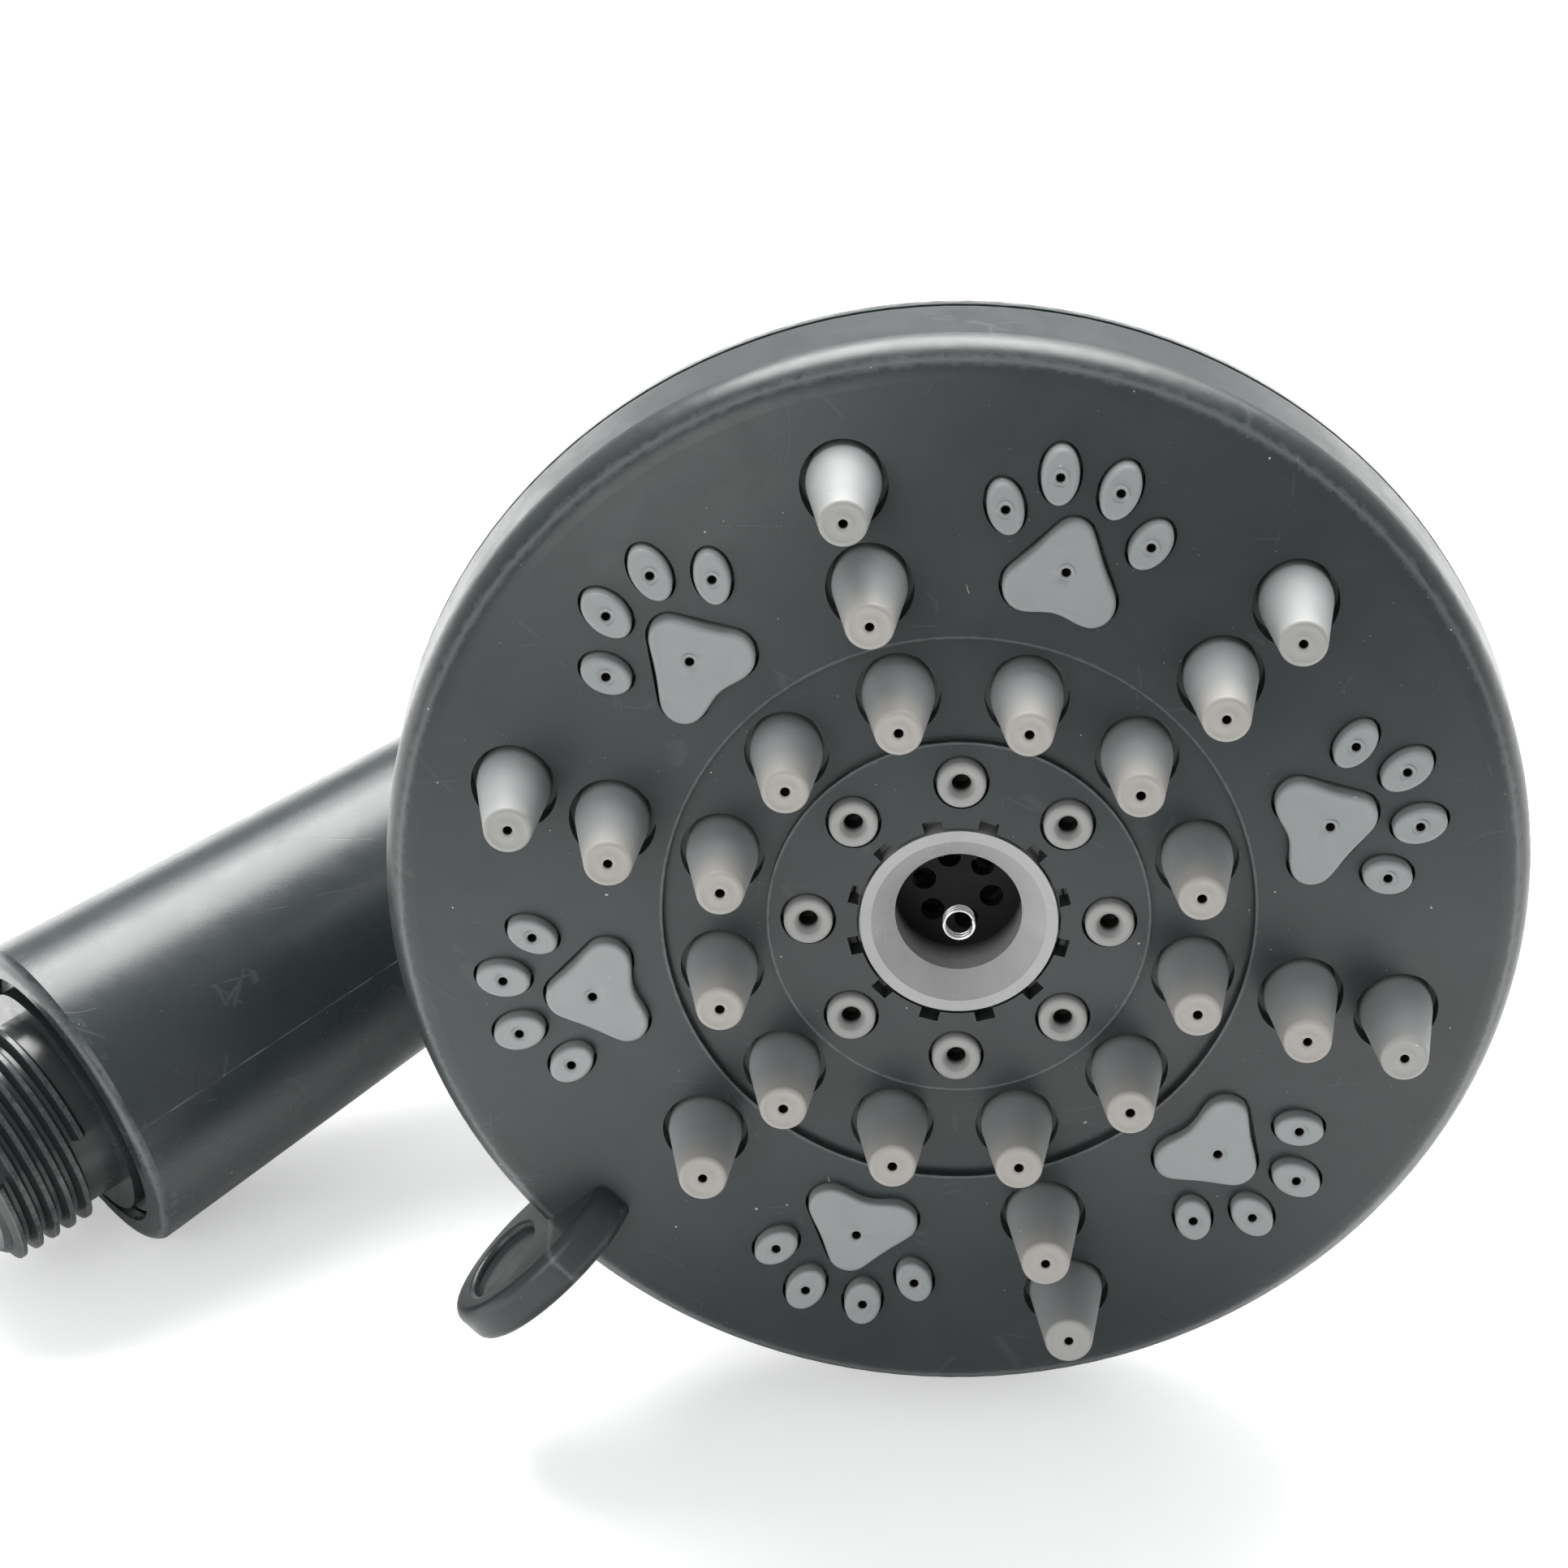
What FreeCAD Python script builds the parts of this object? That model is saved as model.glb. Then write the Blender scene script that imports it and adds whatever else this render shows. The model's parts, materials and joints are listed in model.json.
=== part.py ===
"""Handheld bath sprayer: a turning spray dial on a swan-neck handle with a hose thread.

Three frames are used. The row frame has its origin at the centre of the hose thread's free end,
+Z along the spray and the handle in the XZ plane. The head frame is parallel to it, with its
origin on the spray axis at the edge of the face's inner disc. The inlet frame shares the row's
origin, with its own +Z along the hose thread, out of the handle.
"""
import FreeCAD, Part
import math
import os
import re

import Sketcher
from FreeCAD import Placement, Rotation, Vector

SIZES = [
    # alias, value (mm or degrees), meaning
    ("face_radius", 51.0, "outer radius of the dial cap and of the head"),
    ("dome_radius", 180.0, "radius of the face's gentle dome"),
    ("dome_crown", 0.74, "height of the dome's crown over the head frame"),
    ("face_thick", 2.4, "wall of the face plate"),
    ("cap_wall", 2.2, "side wall of the dial cap"),
    ("cap_depth", 16.5, "head frame down to the cap's lower edge"),
    ("rim_round", 4.0, "round between the face and the side wall"),
    ("channel_inner", 16.9, "inner radius of the shallow ring channel"),
    ("channel_outer", 26.05, "outer radius of the shallow ring channel"),
    ("channel_depth", 0.7, "depth of the ring channel"),
    ("ring_gap", 0.25, "gap between the centre ring and its opening in the face"),
    ("notch_count", 12, "notches round the centre opening"),
    ("notch_width", 1.7, "width of a notch"),
    ("notch_reach", 9.9, "radius that the notches reach"),
    ("hole_gap", 0.3, "gap between a short nozzle, pad or toe and its hole in the face"),
    ("cone_gap", 0.55, "gap between a cone and its hole in the face"),
    ("lever_radius", 52.5, "spray axis to the thumb lever's middle"),
    ("lever_height", -6.9, "thumb lever's middle over the head frame"),
    ("lever_half_reach", 10.2, "half length of the thumb lever, along the radius"),
    ("lever_half_rise", 8.0, "half height of the thumb lever"),
    ("lever_thick", 4.0, "thickness of the thumb lever"),
    ("lever_round", 1.1, "rounded edge of the thumb lever"),
    ("dish_radius", 56.0, "spray axis to the middle of the lever's dishes"),
    ("dish_half_reach", 3.9, "half length of a dish, along the radius"),
    ("dish_half_rise", 4.6, "half height of a dish"),
    ("dish_depth", 0.7, "depth of a dish in each side of the lever"),
    ("dish_round", 0.5, "rounded rim of a dish"),
    ("inner_count", 8, "short nozzles in the inner ring"),
    ("inner_ring", 13.2, "radius of the inner ring"),
    ("inner_nozzle", 2.15, "radius of a short nozzle"),
    ("inner_tip", 1.07, "height of the short nozzles"),
    ("inner_bore", 0.85, "bore radius of a short nozzle"),
    ("middle_count", 12, "long cones in the middle ring"),
    ("middle_ring", 21.5, "radius of the middle ring"),
    ("middle_tip", 7.3, "height of the middle cones"),
    ("middle_base", 3.15, "foot radius of a middle cone"),
    ("middle_end", 2.1, "tip radius of a middle cone"),
    ("middle_bore", 0.55, "bore radius of a middle cone"),
    ("outer_count", 6, "groups round the outer zone"),
    ("near_ring", 31.5, "radius of the outer zone's nearer cones"),
    ("near_tip", 7.1, "height of the nearer cones"),
    ("far_ring", 40.5, "radius of the outer zone's farther cones"),
    ("far_tip", 5.5, "height of the farther cones"),
    ("outer_base", 3.3, "foot radius of an outer cone"),
    ("outer_end", 2.15, "tip radius of an outer cone"),
    ("outer_bore", 0.4, "bore radius of an outer cone, a toe and a pad"),
    ("tip_round", 0.45, "rounded rim of a cone's tip"),
    ("bore_land", 1.35, "length of a cone's fine bore under its tip"),
    ("bore_flare", 2.2, "how many times wider a cone is inside than its fine bore"),
    ("paw_ring", 33.4, "spray axis to the middle of a paw's pad"),
    ("paw_stand", 1.18, "height of pads and toes over the face"),
    ("pad_apex", 2.4, "pad's middle to its outer corner's centre"),
    ("pad_apex_round", 1.9, "radius of the pad's outer corner"),
    ("pad_lobe_back", 2.2, "pad's middle back to its lobes' centres"),
    ("pad_lobe_side", 2.95, "pad's middle sideways to its lobes' centres"),
    ("pad_lobe_round", 2.05, "radius of a pad's lobe"),
    ("pad_hollow_round", 4.2, "radius of the pad's hollow inner edge"),
    ("toe_mid_along", 41.0, "middle toes' place along the paw's radius"),
    ("toe_mid_side", 2.69, "middle toes' place across the paw's radius"),
    ("toe_mid_long", 2.45, "half length of a middle toe"),
    ("toe_mid_wide", 1.65, "half width of a middle toe"),
    ("toe_mid_turn", 10.0, "middle toe's turn from the paw's radius"),
    ("toe_side_along", 37.2, "side toes' place along the paw's radius"),
    ("toe_side_side", 6.49, "side toes' place across the paw's radius"),
    ("toe_side_long", 2.28, "half length of a side toe"),
    ("toe_side_wide", 1.58, "half width of a side toe"),
    ("toe_side_turn", 30.0, "side toe's turn from the paw's radius"),
    ("mat_thick", 1.4, "web of the soft nozzle mats"),
    ("mat_split", 0.2, "half gap between two neighbouring mats"),
    ("ring_radius", 8.7, "outer radius of the centre ring"),
    ("ring_land", 7.7, "radius where the centre ring's chamfer starts"),
    ("ring_bore", 5.6, "bore radius of the centre ring"),
    ("ring_chamfer", 2.1, "depth of the centre ring's chamfer"),
    ("ring_flange", 0.55, "step of the centre ring's holding flange"),
    ("ring_bottom", -8.2, "lower end of the centre ring"),
    ("core_thick", 1.5, "thickness of the jet core"),
    ("core_hole_count", 6, "holes round the jet core"),
    ("core_hole", 1.05, "radius of the jet core's holes"),
    ("core_hole_ring", 3.1, "radius of the jet core's ring of holes"),
    ("plate_gap", 0.4, "gap between the channel plate and the cap's side wall"),
    ("plate_bottom", -12.4, "underside of the channel plate"),
    ("plate_floor", 1.5, "floor thickness of the channel plate"),
    ("rib_centre", 9.0, "inner radius of the channel plate's centre wall"),
    ("rib_centre_wall", 1.8, "thickness of the centre wall"),
    ("rib_inner", 17.2, "radius of the wall between inner and middle chamber"),
    ("rib_inner_half", 0.9, "half thickness of that wall"),
    ("rib_outer", 26.6, "radius of the wall between middle and outer chamber"),
    ("rib_outer_half", 1.2, "half thickness of that wall"),
    ("edge_wall", 5.8, "thickness of the channel plate's outer wall"),
    ("gasket_thick", 0.4, "thickness of the chamber gasket"),
    ("valve_gap", 0.3, "gap between the valve plate and the shell's lip"),
    ("valve_thick", 2.7, "thickness of the valve plate"),
    ("duct_depth", 1.5, "depth of the valve plate's ducts"),
    ("duct_half", 2.2, "half width of the valve plate's ducts"),
    ("port_ring", 31.6, "radius of the ring of ports"),
    ("port_radius", 3.2, "radius of a port"),
    ("port_angle", 180.0, "first port's angle from the lever"),
    ("middle_port_ring", 21.8, "radius of the middle chamber's port"),
    ("middle_port", 3.0, "radius of the middle chamber's port"),
    ("inner_port_ring", 13.6, "radius of the inner chamber's port"),
    ("inner_port", 2.2, "radius of the inner chamber's port"),
    ("duct_centre", 7.9, "radius that the centre duct reaches"),
    ("mode_step", 22.5, "turn from one spray mode to the next"),
    ("mode_count", 3, "spray modes"),
    ("lever_rest", 22.5, "lever's rest angle from the handle"),
    ("dial_screw_count", 6, "screws that close the dial"),
    ("dial_screw_ring", 44.6, "radius of the dial screws"),
    ("dial_screw", 1.1, "shank radius of a dial screw"),
    ("dial_screw_head", 1.9, "head radius of a dial screw"),
    ("dial_screw_depth", 5.4, "length of a dial screw"),
    ("dial_gap", 0.3, "gap between turning and fixed plates"),
    ("pivot_radius", 7.0, "radius of the pivot post"),
    ("pivot_play", 0.05, "radial play of the valve plate on the post"),
    ("washer_overlap", 1.5, "how far the pivot washer reaches past the post"),
    ("washer_thick", 0.8, "thickness of the pivot washer"),
    ("washer_sink", 0.7, "depth of the washer's recess in the valve plate"),
    ("pivot_head", 4.3, "head radius of the pivot screw"),
    ("pivot_head_rise", 2.4, "head height of the pivot screw"),
    ("pivot_shank", 1.9, "shank radius of the pivot screw"),
    ("pivot_length", 8.5, "length of the pivot screw's shank"),
    ("seat_gap", 2.2, "gap between the port plate and the shell's lip"),
    ("seat_thick", 2.8, "thickness of the port plate"),
    ("drum_inner", 35.2, "inner radius of the water drum"),
    ("drum_wall", 1.8, "wall of the water drum"),
    ("drum_depth", 4.8, "depth of the water drum"),
    ("cover_gasket", 0.5, "thickness of the drum's gasket"),
    ("cover_thick", 1.7, "thickness of the inlet cover"),
    ("nipple_bore", 4.6, "bore radius of the inlet cover's nipple"),
    ("nipple_length", 5.4, "length of the inlet cover's nipple"),
    ("seal_radius", 4.6, "outer radius of the port seal"),
    ("seal_seat", 1.4, "depth of the port seal's seat"),
    ("seal_play", 0.05, "gap between the port seal and the valve plate"),
    ("detent_ring", 40.8, "radius of the detent"),
    ("detent_angle", 90.0, "first detent notch's angle from the lever"),
    ("detent_radius", 1.6, "radius of the detent pin"),
    ("detent_play", 0.06, "radial play of the detent pin"),
    ("detent_pocket", 4.4, "depth of the detent pin's pocket"),
    ("detent_pin", 2.2, "length of the detent pin's shank"),
    ("detent_lift", 0.6, "travel of the detent pin into a notch"),
    ("detent_boss", 3.0, "radius of the boss round the detent pocket"),
    ("detent_wire", 0.15, "wire radius of the detent spring"),
    ("seat_screw_count", 3, "screws that hold the port plate"),
    ("seat_screw_angle", 0.0, "first of those screws' angle from the side away from the handle"),
    ("seat_screw_ring", 41.0, "radius of the screws that hold the port plate"),
    ("seat_screw", 1.2, "shank radius of those screws"),
    ("seat_screw_head", 2.3, "head radius of those screws"),
    ("seat_screw_depth", 6.0, "length of those screws"),
    ("seat_boss", 3.0, "radius of the handle shell's screw bosses"),
    ("seam", 0.5, "gap between the dial cap and the handle shell"),
    ("rim_height", 2.5, "straight rim of the handle shell"),
    ("lip_gap", 0.4, "gap between the shell's lip and the cap's side wall"),
    ("lip_wall", 1.2, "wall of the shell's lip inside the dial cap"),
    ("lip_rise", 2.0, "rise of the lip over the shell's rim"),
    ("back_depth", 38.5, "head frame down to the back dome's crown"),
    ("back_round", 5.0, "round between the rim and the back dome"),
    ("shell_wall", 2.4, "wall of the handle shell"),
    ("reach", 90.9, "spray axis to the handle's end"),
    ("drop", 31.1, "head frame down to the handle's end"),
    ("lean", 31.6, "handle axis's rise from the face plane"),
    ("neck_start", 26.2, "head frame down to the start of the neck's bend"),
    ("neck_radius", 13.2, "radius of the neck"),
    ("neck_root", 19.0, "radius of the neck at its root"),
    ("neck_blend", 6.0, "round between the neck and the back dome"),
    ("grip_radius", 16.2, "radius of the handle's end"),
    ("grip_round", 1.5, "rounded rim of the handle's end"),
    ("socket_wall", 2.7, "wall round the recess in the handle's end"),
    ("socket_depth", 3.8, "depth of the recess in the handle's end"),
    ("sleeve_radius", 9.4, "bore of the sleeve behind the recess"),
    ("sleeve_length", 9.0, "length of the sleeve"),
    ("tube_start", 31.0, "head frame down to the start of the tube's bend"),
    ("tube_radius", 7.6, "outer radius of the water tube"),
    ("tube_bore", 6.0, "bore radius of the water tube"),
    ("thread_radius", 10.4775, "crest radius of the half inch hose thread"),
    ("thread_pitch", 1.814, "pitch of the hose thread"),
    ("thread_depth", 1.1, "depth of the hose thread"),
    ("thread_crest", 0.42, "width of the thread's crest"),
    ("thread_foot", 1.524, "width of the thread's foot"),
    ("thread_sink", 0.1, "how far the thread's foot reaches into its core"),
    ("thread_turns", 5, "turns of the hose thread"),
    ("thread_length", 10.2, "threaded length"),
    ("thread_bore", 7.8, "bore radius of the hose thread"),
    ("thread_reach", 13.0, "handle's end to the thread's free end"),
    ("collar_radius", 11.9, "radius of the collar behind the thread"),
    ("collar_length", 1.6, "length of the collar"),
    ("flange_gap", 0.3, "gap between the inlet's flange and its recess"),
    ("flange_thick", 2.56, "thickness of the inlet's flange"),
    ("tail_gap", 0.4, "gap between the inlet's tail and the sleeve"),
    ("tail_length", 15.0, "length of the inlet's tail"),
    ("tail_socket", 8.0, "depth of the socket for the water tube"),
    ("o_ring_count", 2, "O-rings on the inlet's tail"),
    ("o_ring_wire", 0.7, "half thickness of an O-ring"),
    ("o_ring_step", 4.0, "distance between the two O-rings"),
    ("screen_thick", 0.7, "thickness of the filter screen"),
    ("screen_depth", 4.0, "free end of the thread to the filter screen"),
    ("screen_hole", 0.7, "radius of a hole in the filter screen"),
    ("screen_ring_step", 2.38, "distance between the screen's rings of holes"),
    ("screen_ring_count", 6, "holes that each ring of the screen adds"),
    ("limiter_radius", 6.8, "radius of the flow limiter"),
    ("limiter_thick", 3.0, "thickness of the flow limiter"),
    ("limiter_bore", 2.4, "bore radius of the flow limiter"),
]

doc = FreeCAD.newDocument("bath_sprayer")
sheet = doc.addObject("Spreadsheet::Sheet", "sizes")
for row, (alias, number, meaning) in enumerate(SIZES, start=1):
    sheet.set(f"A{row}", meaning)
    sheet.set(f"B{row}", str(number))
    sheet.setAlias(f"B{row}", alias)
doc.recompute()

ALIASES = re.compile(r"\b(" + "|".join(alias for alias, _, _ in SIZES) + r")\b")
SUB_PARTS = []


# ---------------------------------------------------------------- expressions

def linked(expression):
    """Name the sheet in front of every alias of an expression."""
    return ALIASES.sub(r"sizes.\1", expression)


def size(expression):
    """Work an expression out to a number."""
    return float(sheet.evalExpression(linked(expression)))


def dome(radius, below="0"):
    """Height, at a radius, of the sphere that runs parallel to the face and below it."""
    return f"dome_crown - dome_radius + sqrt((dome_radius - ({below}))^2 - ({radius})^2)"


def bind(target, name, expression):
    """Tie one property to an expression of the sheet's sizes."""
    target.setExpression(name, linked(expression))


# ---------------------------------------------------------------- sketches

def origin_plane(body, role):
    """Find one of a body's own origin planes or axes."""
    return [feature for feature in body.Origin.OriginFeatures if feature.Role == role][0]


def new_body(name):
    """Start a sub-part as a body with its own label."""
    body = doc.addObject("PartDesign::Body", name)
    body.Label = name
    SUB_PARTS.append(body)
    return body


def new_sketch(body, name, role, at=("0", "0"), height="0", turn="0"):
    """Attach a sketch to an origin plane; `at` is its own origin, across the body's Z."""
    sketch = body.newObject("Sketcher::SketchObject", name)
    sketch.AttachmentSupport = (origin_plane(body, role), [""])
    sketch.MapMode = "FlatFace"
    bind(sketch, "AttachmentOffset.Base.x", at[0])
    if role == "XZ_Plane":
        bind(sketch, "AttachmentOffset.Base.z", f"-({at[1]})")
    else:
        bind(sketch, "AttachmentOffset.Base.y", at[1])
        bind(sketch, "AttachmentOffset.Base.z", height)
        sketch.AttachmentOffset.Rotation = Rotation(Vector(0, 0, 1), size(turn))
        bind(sketch, "AttachmentOffset.Rotation.Angle", turn)
    return sketch


def hold_point(sketch, geometry, end, across, up):
    """Hold a point of the sketch at two expressions measured from the sketch's origin."""
    if across == "0":
        sketch.addConstraint(Sketcher.Constraint("PointOnObject", geometry, end, -2))
    else:
        index = sketch.addConstraint(
            Sketcher.Constraint("DistanceX", -1, 1, geometry, end, size(across)))
        bind(sketch, f"Constraints[{index}]", across)
    if up == "0":
        sketch.addConstraint(Sketcher.Constraint("PointOnObject", geometry, end, -1))
    else:
        index = sketch.addConstraint(
            Sketcher.Constraint("DistanceY", -1, 1, geometry, end, size(up)))
        bind(sketch, f"Constraints[{index}]", up)


def arc_about(centre, start, stop):
    """Counter-clockwise arc of less than half a turn, and whether it runs from stop to start."""
    first = math.atan2(start.y - centre.y, start.x - centre.x)
    last = math.atan2(stop.y - centre.y, stop.x - centre.x)
    sweep = (last - first) % (2 * math.pi)
    circle = Part.Circle(centre, Vector(0, 0, 1), (start - centre).Length)
    if sweep < math.pi:
        return Part.ArcOfCircle(circle, first, first + sweep), False
    return Part.ArcOfCircle(circle, last, last + 2 * math.pi - sweep), True


def arc_centre(start, stop, radius):
    """Centre, below the chord, of the arc that bulges up between two points."""
    middle = (start + stop) / 2
    half = (stop - start).Length / 2
    down = Vector(stop.y - start.y, start.x - stop.x, 0).normalize()
    if down.y > 0:
        down = -down
    return middle + down * math.sqrt(radius ** 2 - half ** 2)


def draw_profile(sketch, points):
    """Draw a closed outline; a point's third value is the radius of the arc that leaves it."""
    corners = [Vector(size(point[0]), size(point[1]), 0) for point in points]
    edges = []
    for index, point in enumerate(points):
        start = corners[index]
        stop = corners[(index + 1) % len(points)]
        if len(point) == 3:
            radius = size(point[2])
            arc, backwards = arc_about(arc_centre(start, stop, radius), start, stop)
            geometry = sketch.addGeometry(arc, False)
            edges.append((geometry, 2 if backwards else 1, 1 if backwards else 2))
            held = sketch.addConstraint(Sketcher.Constraint("Radius", geometry, radius))
            bind(sketch, f"Constraints[{held}]", point[2])
        else:
            geometry = sketch.addGeometry(Part.LineSegment(start, stop), False)
            edges.append((geometry, 1, 2))
    for index, point in enumerate(points):
        before = edges[index - 1]
        here = edges[index]
        sketch.addConstraint(Sketcher.Constraint("Coincident", before[0], before[2], here[0], here[1]))
        hold_point(sketch, here[0], here[1], point[0], point[1])


def draw_circle(sketch, radius, across="0", up="0"):
    """Draw a circle held by its centre and radius."""
    centre = Vector(size(across), size(up), 0)
    geometry = sketch.addGeometry(Part.Circle(centre, Vector(0, 0, 1), size(radius)), False)
    index = sketch.addConstraint(Sketcher.Constraint("Radius", geometry, size(radius)))
    bind(sketch, f"Constraints[{index}]", radius)
    hold_point(sketch, geometry, 3, across, up)


def draw_ellipse(sketch, across, up, half_long, half_wide, turn):
    """Draw an ellipse held by its centre, both axes and the turn of its long axis."""
    centre = Vector(size(across), size(up), 0)
    angle = math.radians(size(turn))
    along = Vector(math.cos(angle), math.sin(angle), 0)
    side = Vector(-along.y, along.x, 0)
    shape = Part.Ellipse(centre + along * size(half_long), centre + side * size(half_wide), centre)
    geometry = sketch.addGeometry(shape, False)
    sketch.exposeInternalGeometry(geometry)
    hold_point(sketch, geometry, 3, across, up)
    for line, half in ((geometry + 1, half_long), (geometry + 2, half_wide)):
        index = sketch.addConstraint(Sketcher.Constraint("Distance", line, 2 * size(half)))
        bind(sketch, f"Constraints[{index}]", f"2 * ({half})")
    long_axis = sketch.Geometry[geometry + 1]
    leaning = long_axis.EndPoint - long_axis.StartPoint
    slope = math.degrees(math.atan2(leaning.y, leaning.x))
    index = sketch.addConstraint(Sketcher.Constraint("Angle", geometry + 1, math.radians(slope)))
    bind(sketch, f"Constraints[{index}]", f"({turn}) + {round(slope - size(turn))}")


# ---------------------------------------------------------------- features

def revolve(body, name, points, at=("0", "0"), cut=False):
    """Turn a profile about the sketch's upright axis, to add material or to cut it."""
    sketch = new_sketch(body, name + "_profile", "XZ_Plane", at)
    draw_profile(sketch, points)
    kind = "PartDesign::Groove" if cut else "PartDesign::Revolution"
    feature = body.newObject(kind, name)
    feature.Profile = sketch
    feature.ReferenceAxis = (sketch, ["V_Axis"])
    feature.Angle = 360
    doc.recompute()
    return feature


def pad(body, name, sketch, length, both_ways=False):
    """Add a straight extrusion of a sketch, upwards or to both sides."""
    feature = body.newObject("PartDesign::Pad", name)
    feature.Profile = sketch
    feature.Midplane = both_ways
    bind(feature, "Length", length)
    doc.recompute()
    return feature


def pocket(body, name, sketch, depth, flip=False):
    """Cut a sketch by a depth, down from its plane or, flipped, up from it."""
    before = body.Shape.Volume
    feature = body.newObject("PartDesign::Pocket", name)
    feature.Profile = sketch
    feature.Reversed = flip
    bind(feature, "Length", depth)
    doc.recompute()
    if body.Shape.Volume > before - 1e-6:
        raise RuntimeError(f"{body.Label}: {name} cuts nothing")
    return feature


def drill(body, name, radius, top, depth, at=("0", "0")):
    """Cut one round hole from a height downwards."""
    sketch = new_sketch(body, name + "_circle", "XY_Plane", at, top)
    draw_circle(sketch, radius)
    return pocket(body, name, sketch, depth)


def around(body, name, features, count, angle="360"):
    """Repeat features round the body's Z axis."""
    pattern = body.newObject("PartDesign::PolarPattern", name)
    pattern.Originals = features
    pattern.Axis = (origin_plane(body, "Z_Axis"), [""])
    bind(pattern, "Angle", angle)
    bind(pattern, "Occurrences", count)
    body.Tip = pattern
    doc.recompute()
    return pattern


def round_edges(body, name, radius, wanted):
    """Round the edges of the body's shape that a test picks."""
    base = body.Tip
    chosen = [f"Edge{i}" for i, edge in enumerate(base.Shape.Edges, start=1) if wanted(edge)]
    if not chosen:
        raise RuntimeError(f"{body.Label}: {name} finds no edge")
    feature = body.newObject("PartDesign::Fillet", name)
    feature.Base = (base, chosen)
    bind(feature, "Radius", radius)
    body.Tip = feature
    doc.recompute()
    return feature


def polar(radius, angle):
    """Expressions of a point at a radius and an angle round the Z axis."""
    return (f"({radius}) * cos(({angle}) * 1 deg)", f"({radius}) * sin(({angle}) * 1 deg)")


def plain_part(name, shape):
    """Add a sub-part whose shape was worked out with Part's own functions."""
    feature = doc.addObject("Part::Feature", name)
    feature.Label = name
    feature.Shape = shape
    SUB_PARTS.append(feature)
    return feature


def place_head(sub_part, angle="0"):
    """Put a sub-part in the head frame, turned round the spray axis."""
    sub_part.Placement = Placement(Vector(0, 0, 0), Rotation(Vector(0, 0, 1), size(angle)))
    bind(sub_part, "Placement.Base.x", HEAD_X)
    bind(sub_part, "Placement.Base.z", HEAD_Z)


def place_dial(sub_part):
    """Put a sub-part in the head frame at the dial's rest angle."""
    place_head(sub_part, "180 + lever_rest")


def place_inlet(sub_part):
    """Put a sub-part in the inlet frame."""
    sub_part.Placement = Placement(Vector(0, 0, 0), Rotation(Vector(0, 1, 0), size("lean - 90")))


HEAD_X = "reach + thread_reach * cos(lean * 1 deg)"
HEAD_Z = "drop - thread_reach * sin(lean * 1 deg)"
GASKET_TOP = "plate_bottom"
VALVE_TOP = "plate_bottom - gasket_thick"
VALVE_BOTTOM = "plate_bottom - gasket_thick - valve_thick"
SEAT_TOP = "plate_bottom - gasket_thick - valve_thick - dial_gap"
SEAT_BOTTOM = SEAT_TOP + " - seat_thick"
POST_TOP = VALVE_TOP + " - washer_sink + dial_gap"
DRUM_BOTTOM = SEAT_BOTTOM + " - drum_depth"
COVER_TOP = DRUM_BOTTOM + " - cover_gasket"
COVER_BOTTOM = COVER_TOP + " - cover_thick"
CAP_INNER = "(face_radius - cap_wall)"
PLATE_RIM = f"({CAP_INNER} - plate_gap)"
EDGE_INNER = f"({PLATE_RIM} - edge_wall)"
LIP_OUTER = f"({CAP_INNER} - lip_gap)"
LIP_INNER = f"({LIP_OUTER} - lip_wall)"
VALVE_RIM = f"({LIP_INNER} - valve_gap)"
SEAT_RIM = f"({LIP_INNER} - seat_gap)"
OPENING = "(ring_radius + ring_gap)"
WASHER_RIM = "(pivot_radius + washer_overlap)"
SOCKET_RIM = "(grip_radius - socket_wall)"
FLANGE_RIM = f"({SOCKET_RIM} - flange_gap)"
TAIL_RIM = "(sleeve_radius - tail_gap)"
CHAMBER_TOP = "face_thick + mat_thick"
WORLD_PORT = "180 + lever_rest + port_angle"
WORLD_DETENT = "180 + lever_rest + detent_angle"


# ---------------------------------------------------------------- paw outlines

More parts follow.
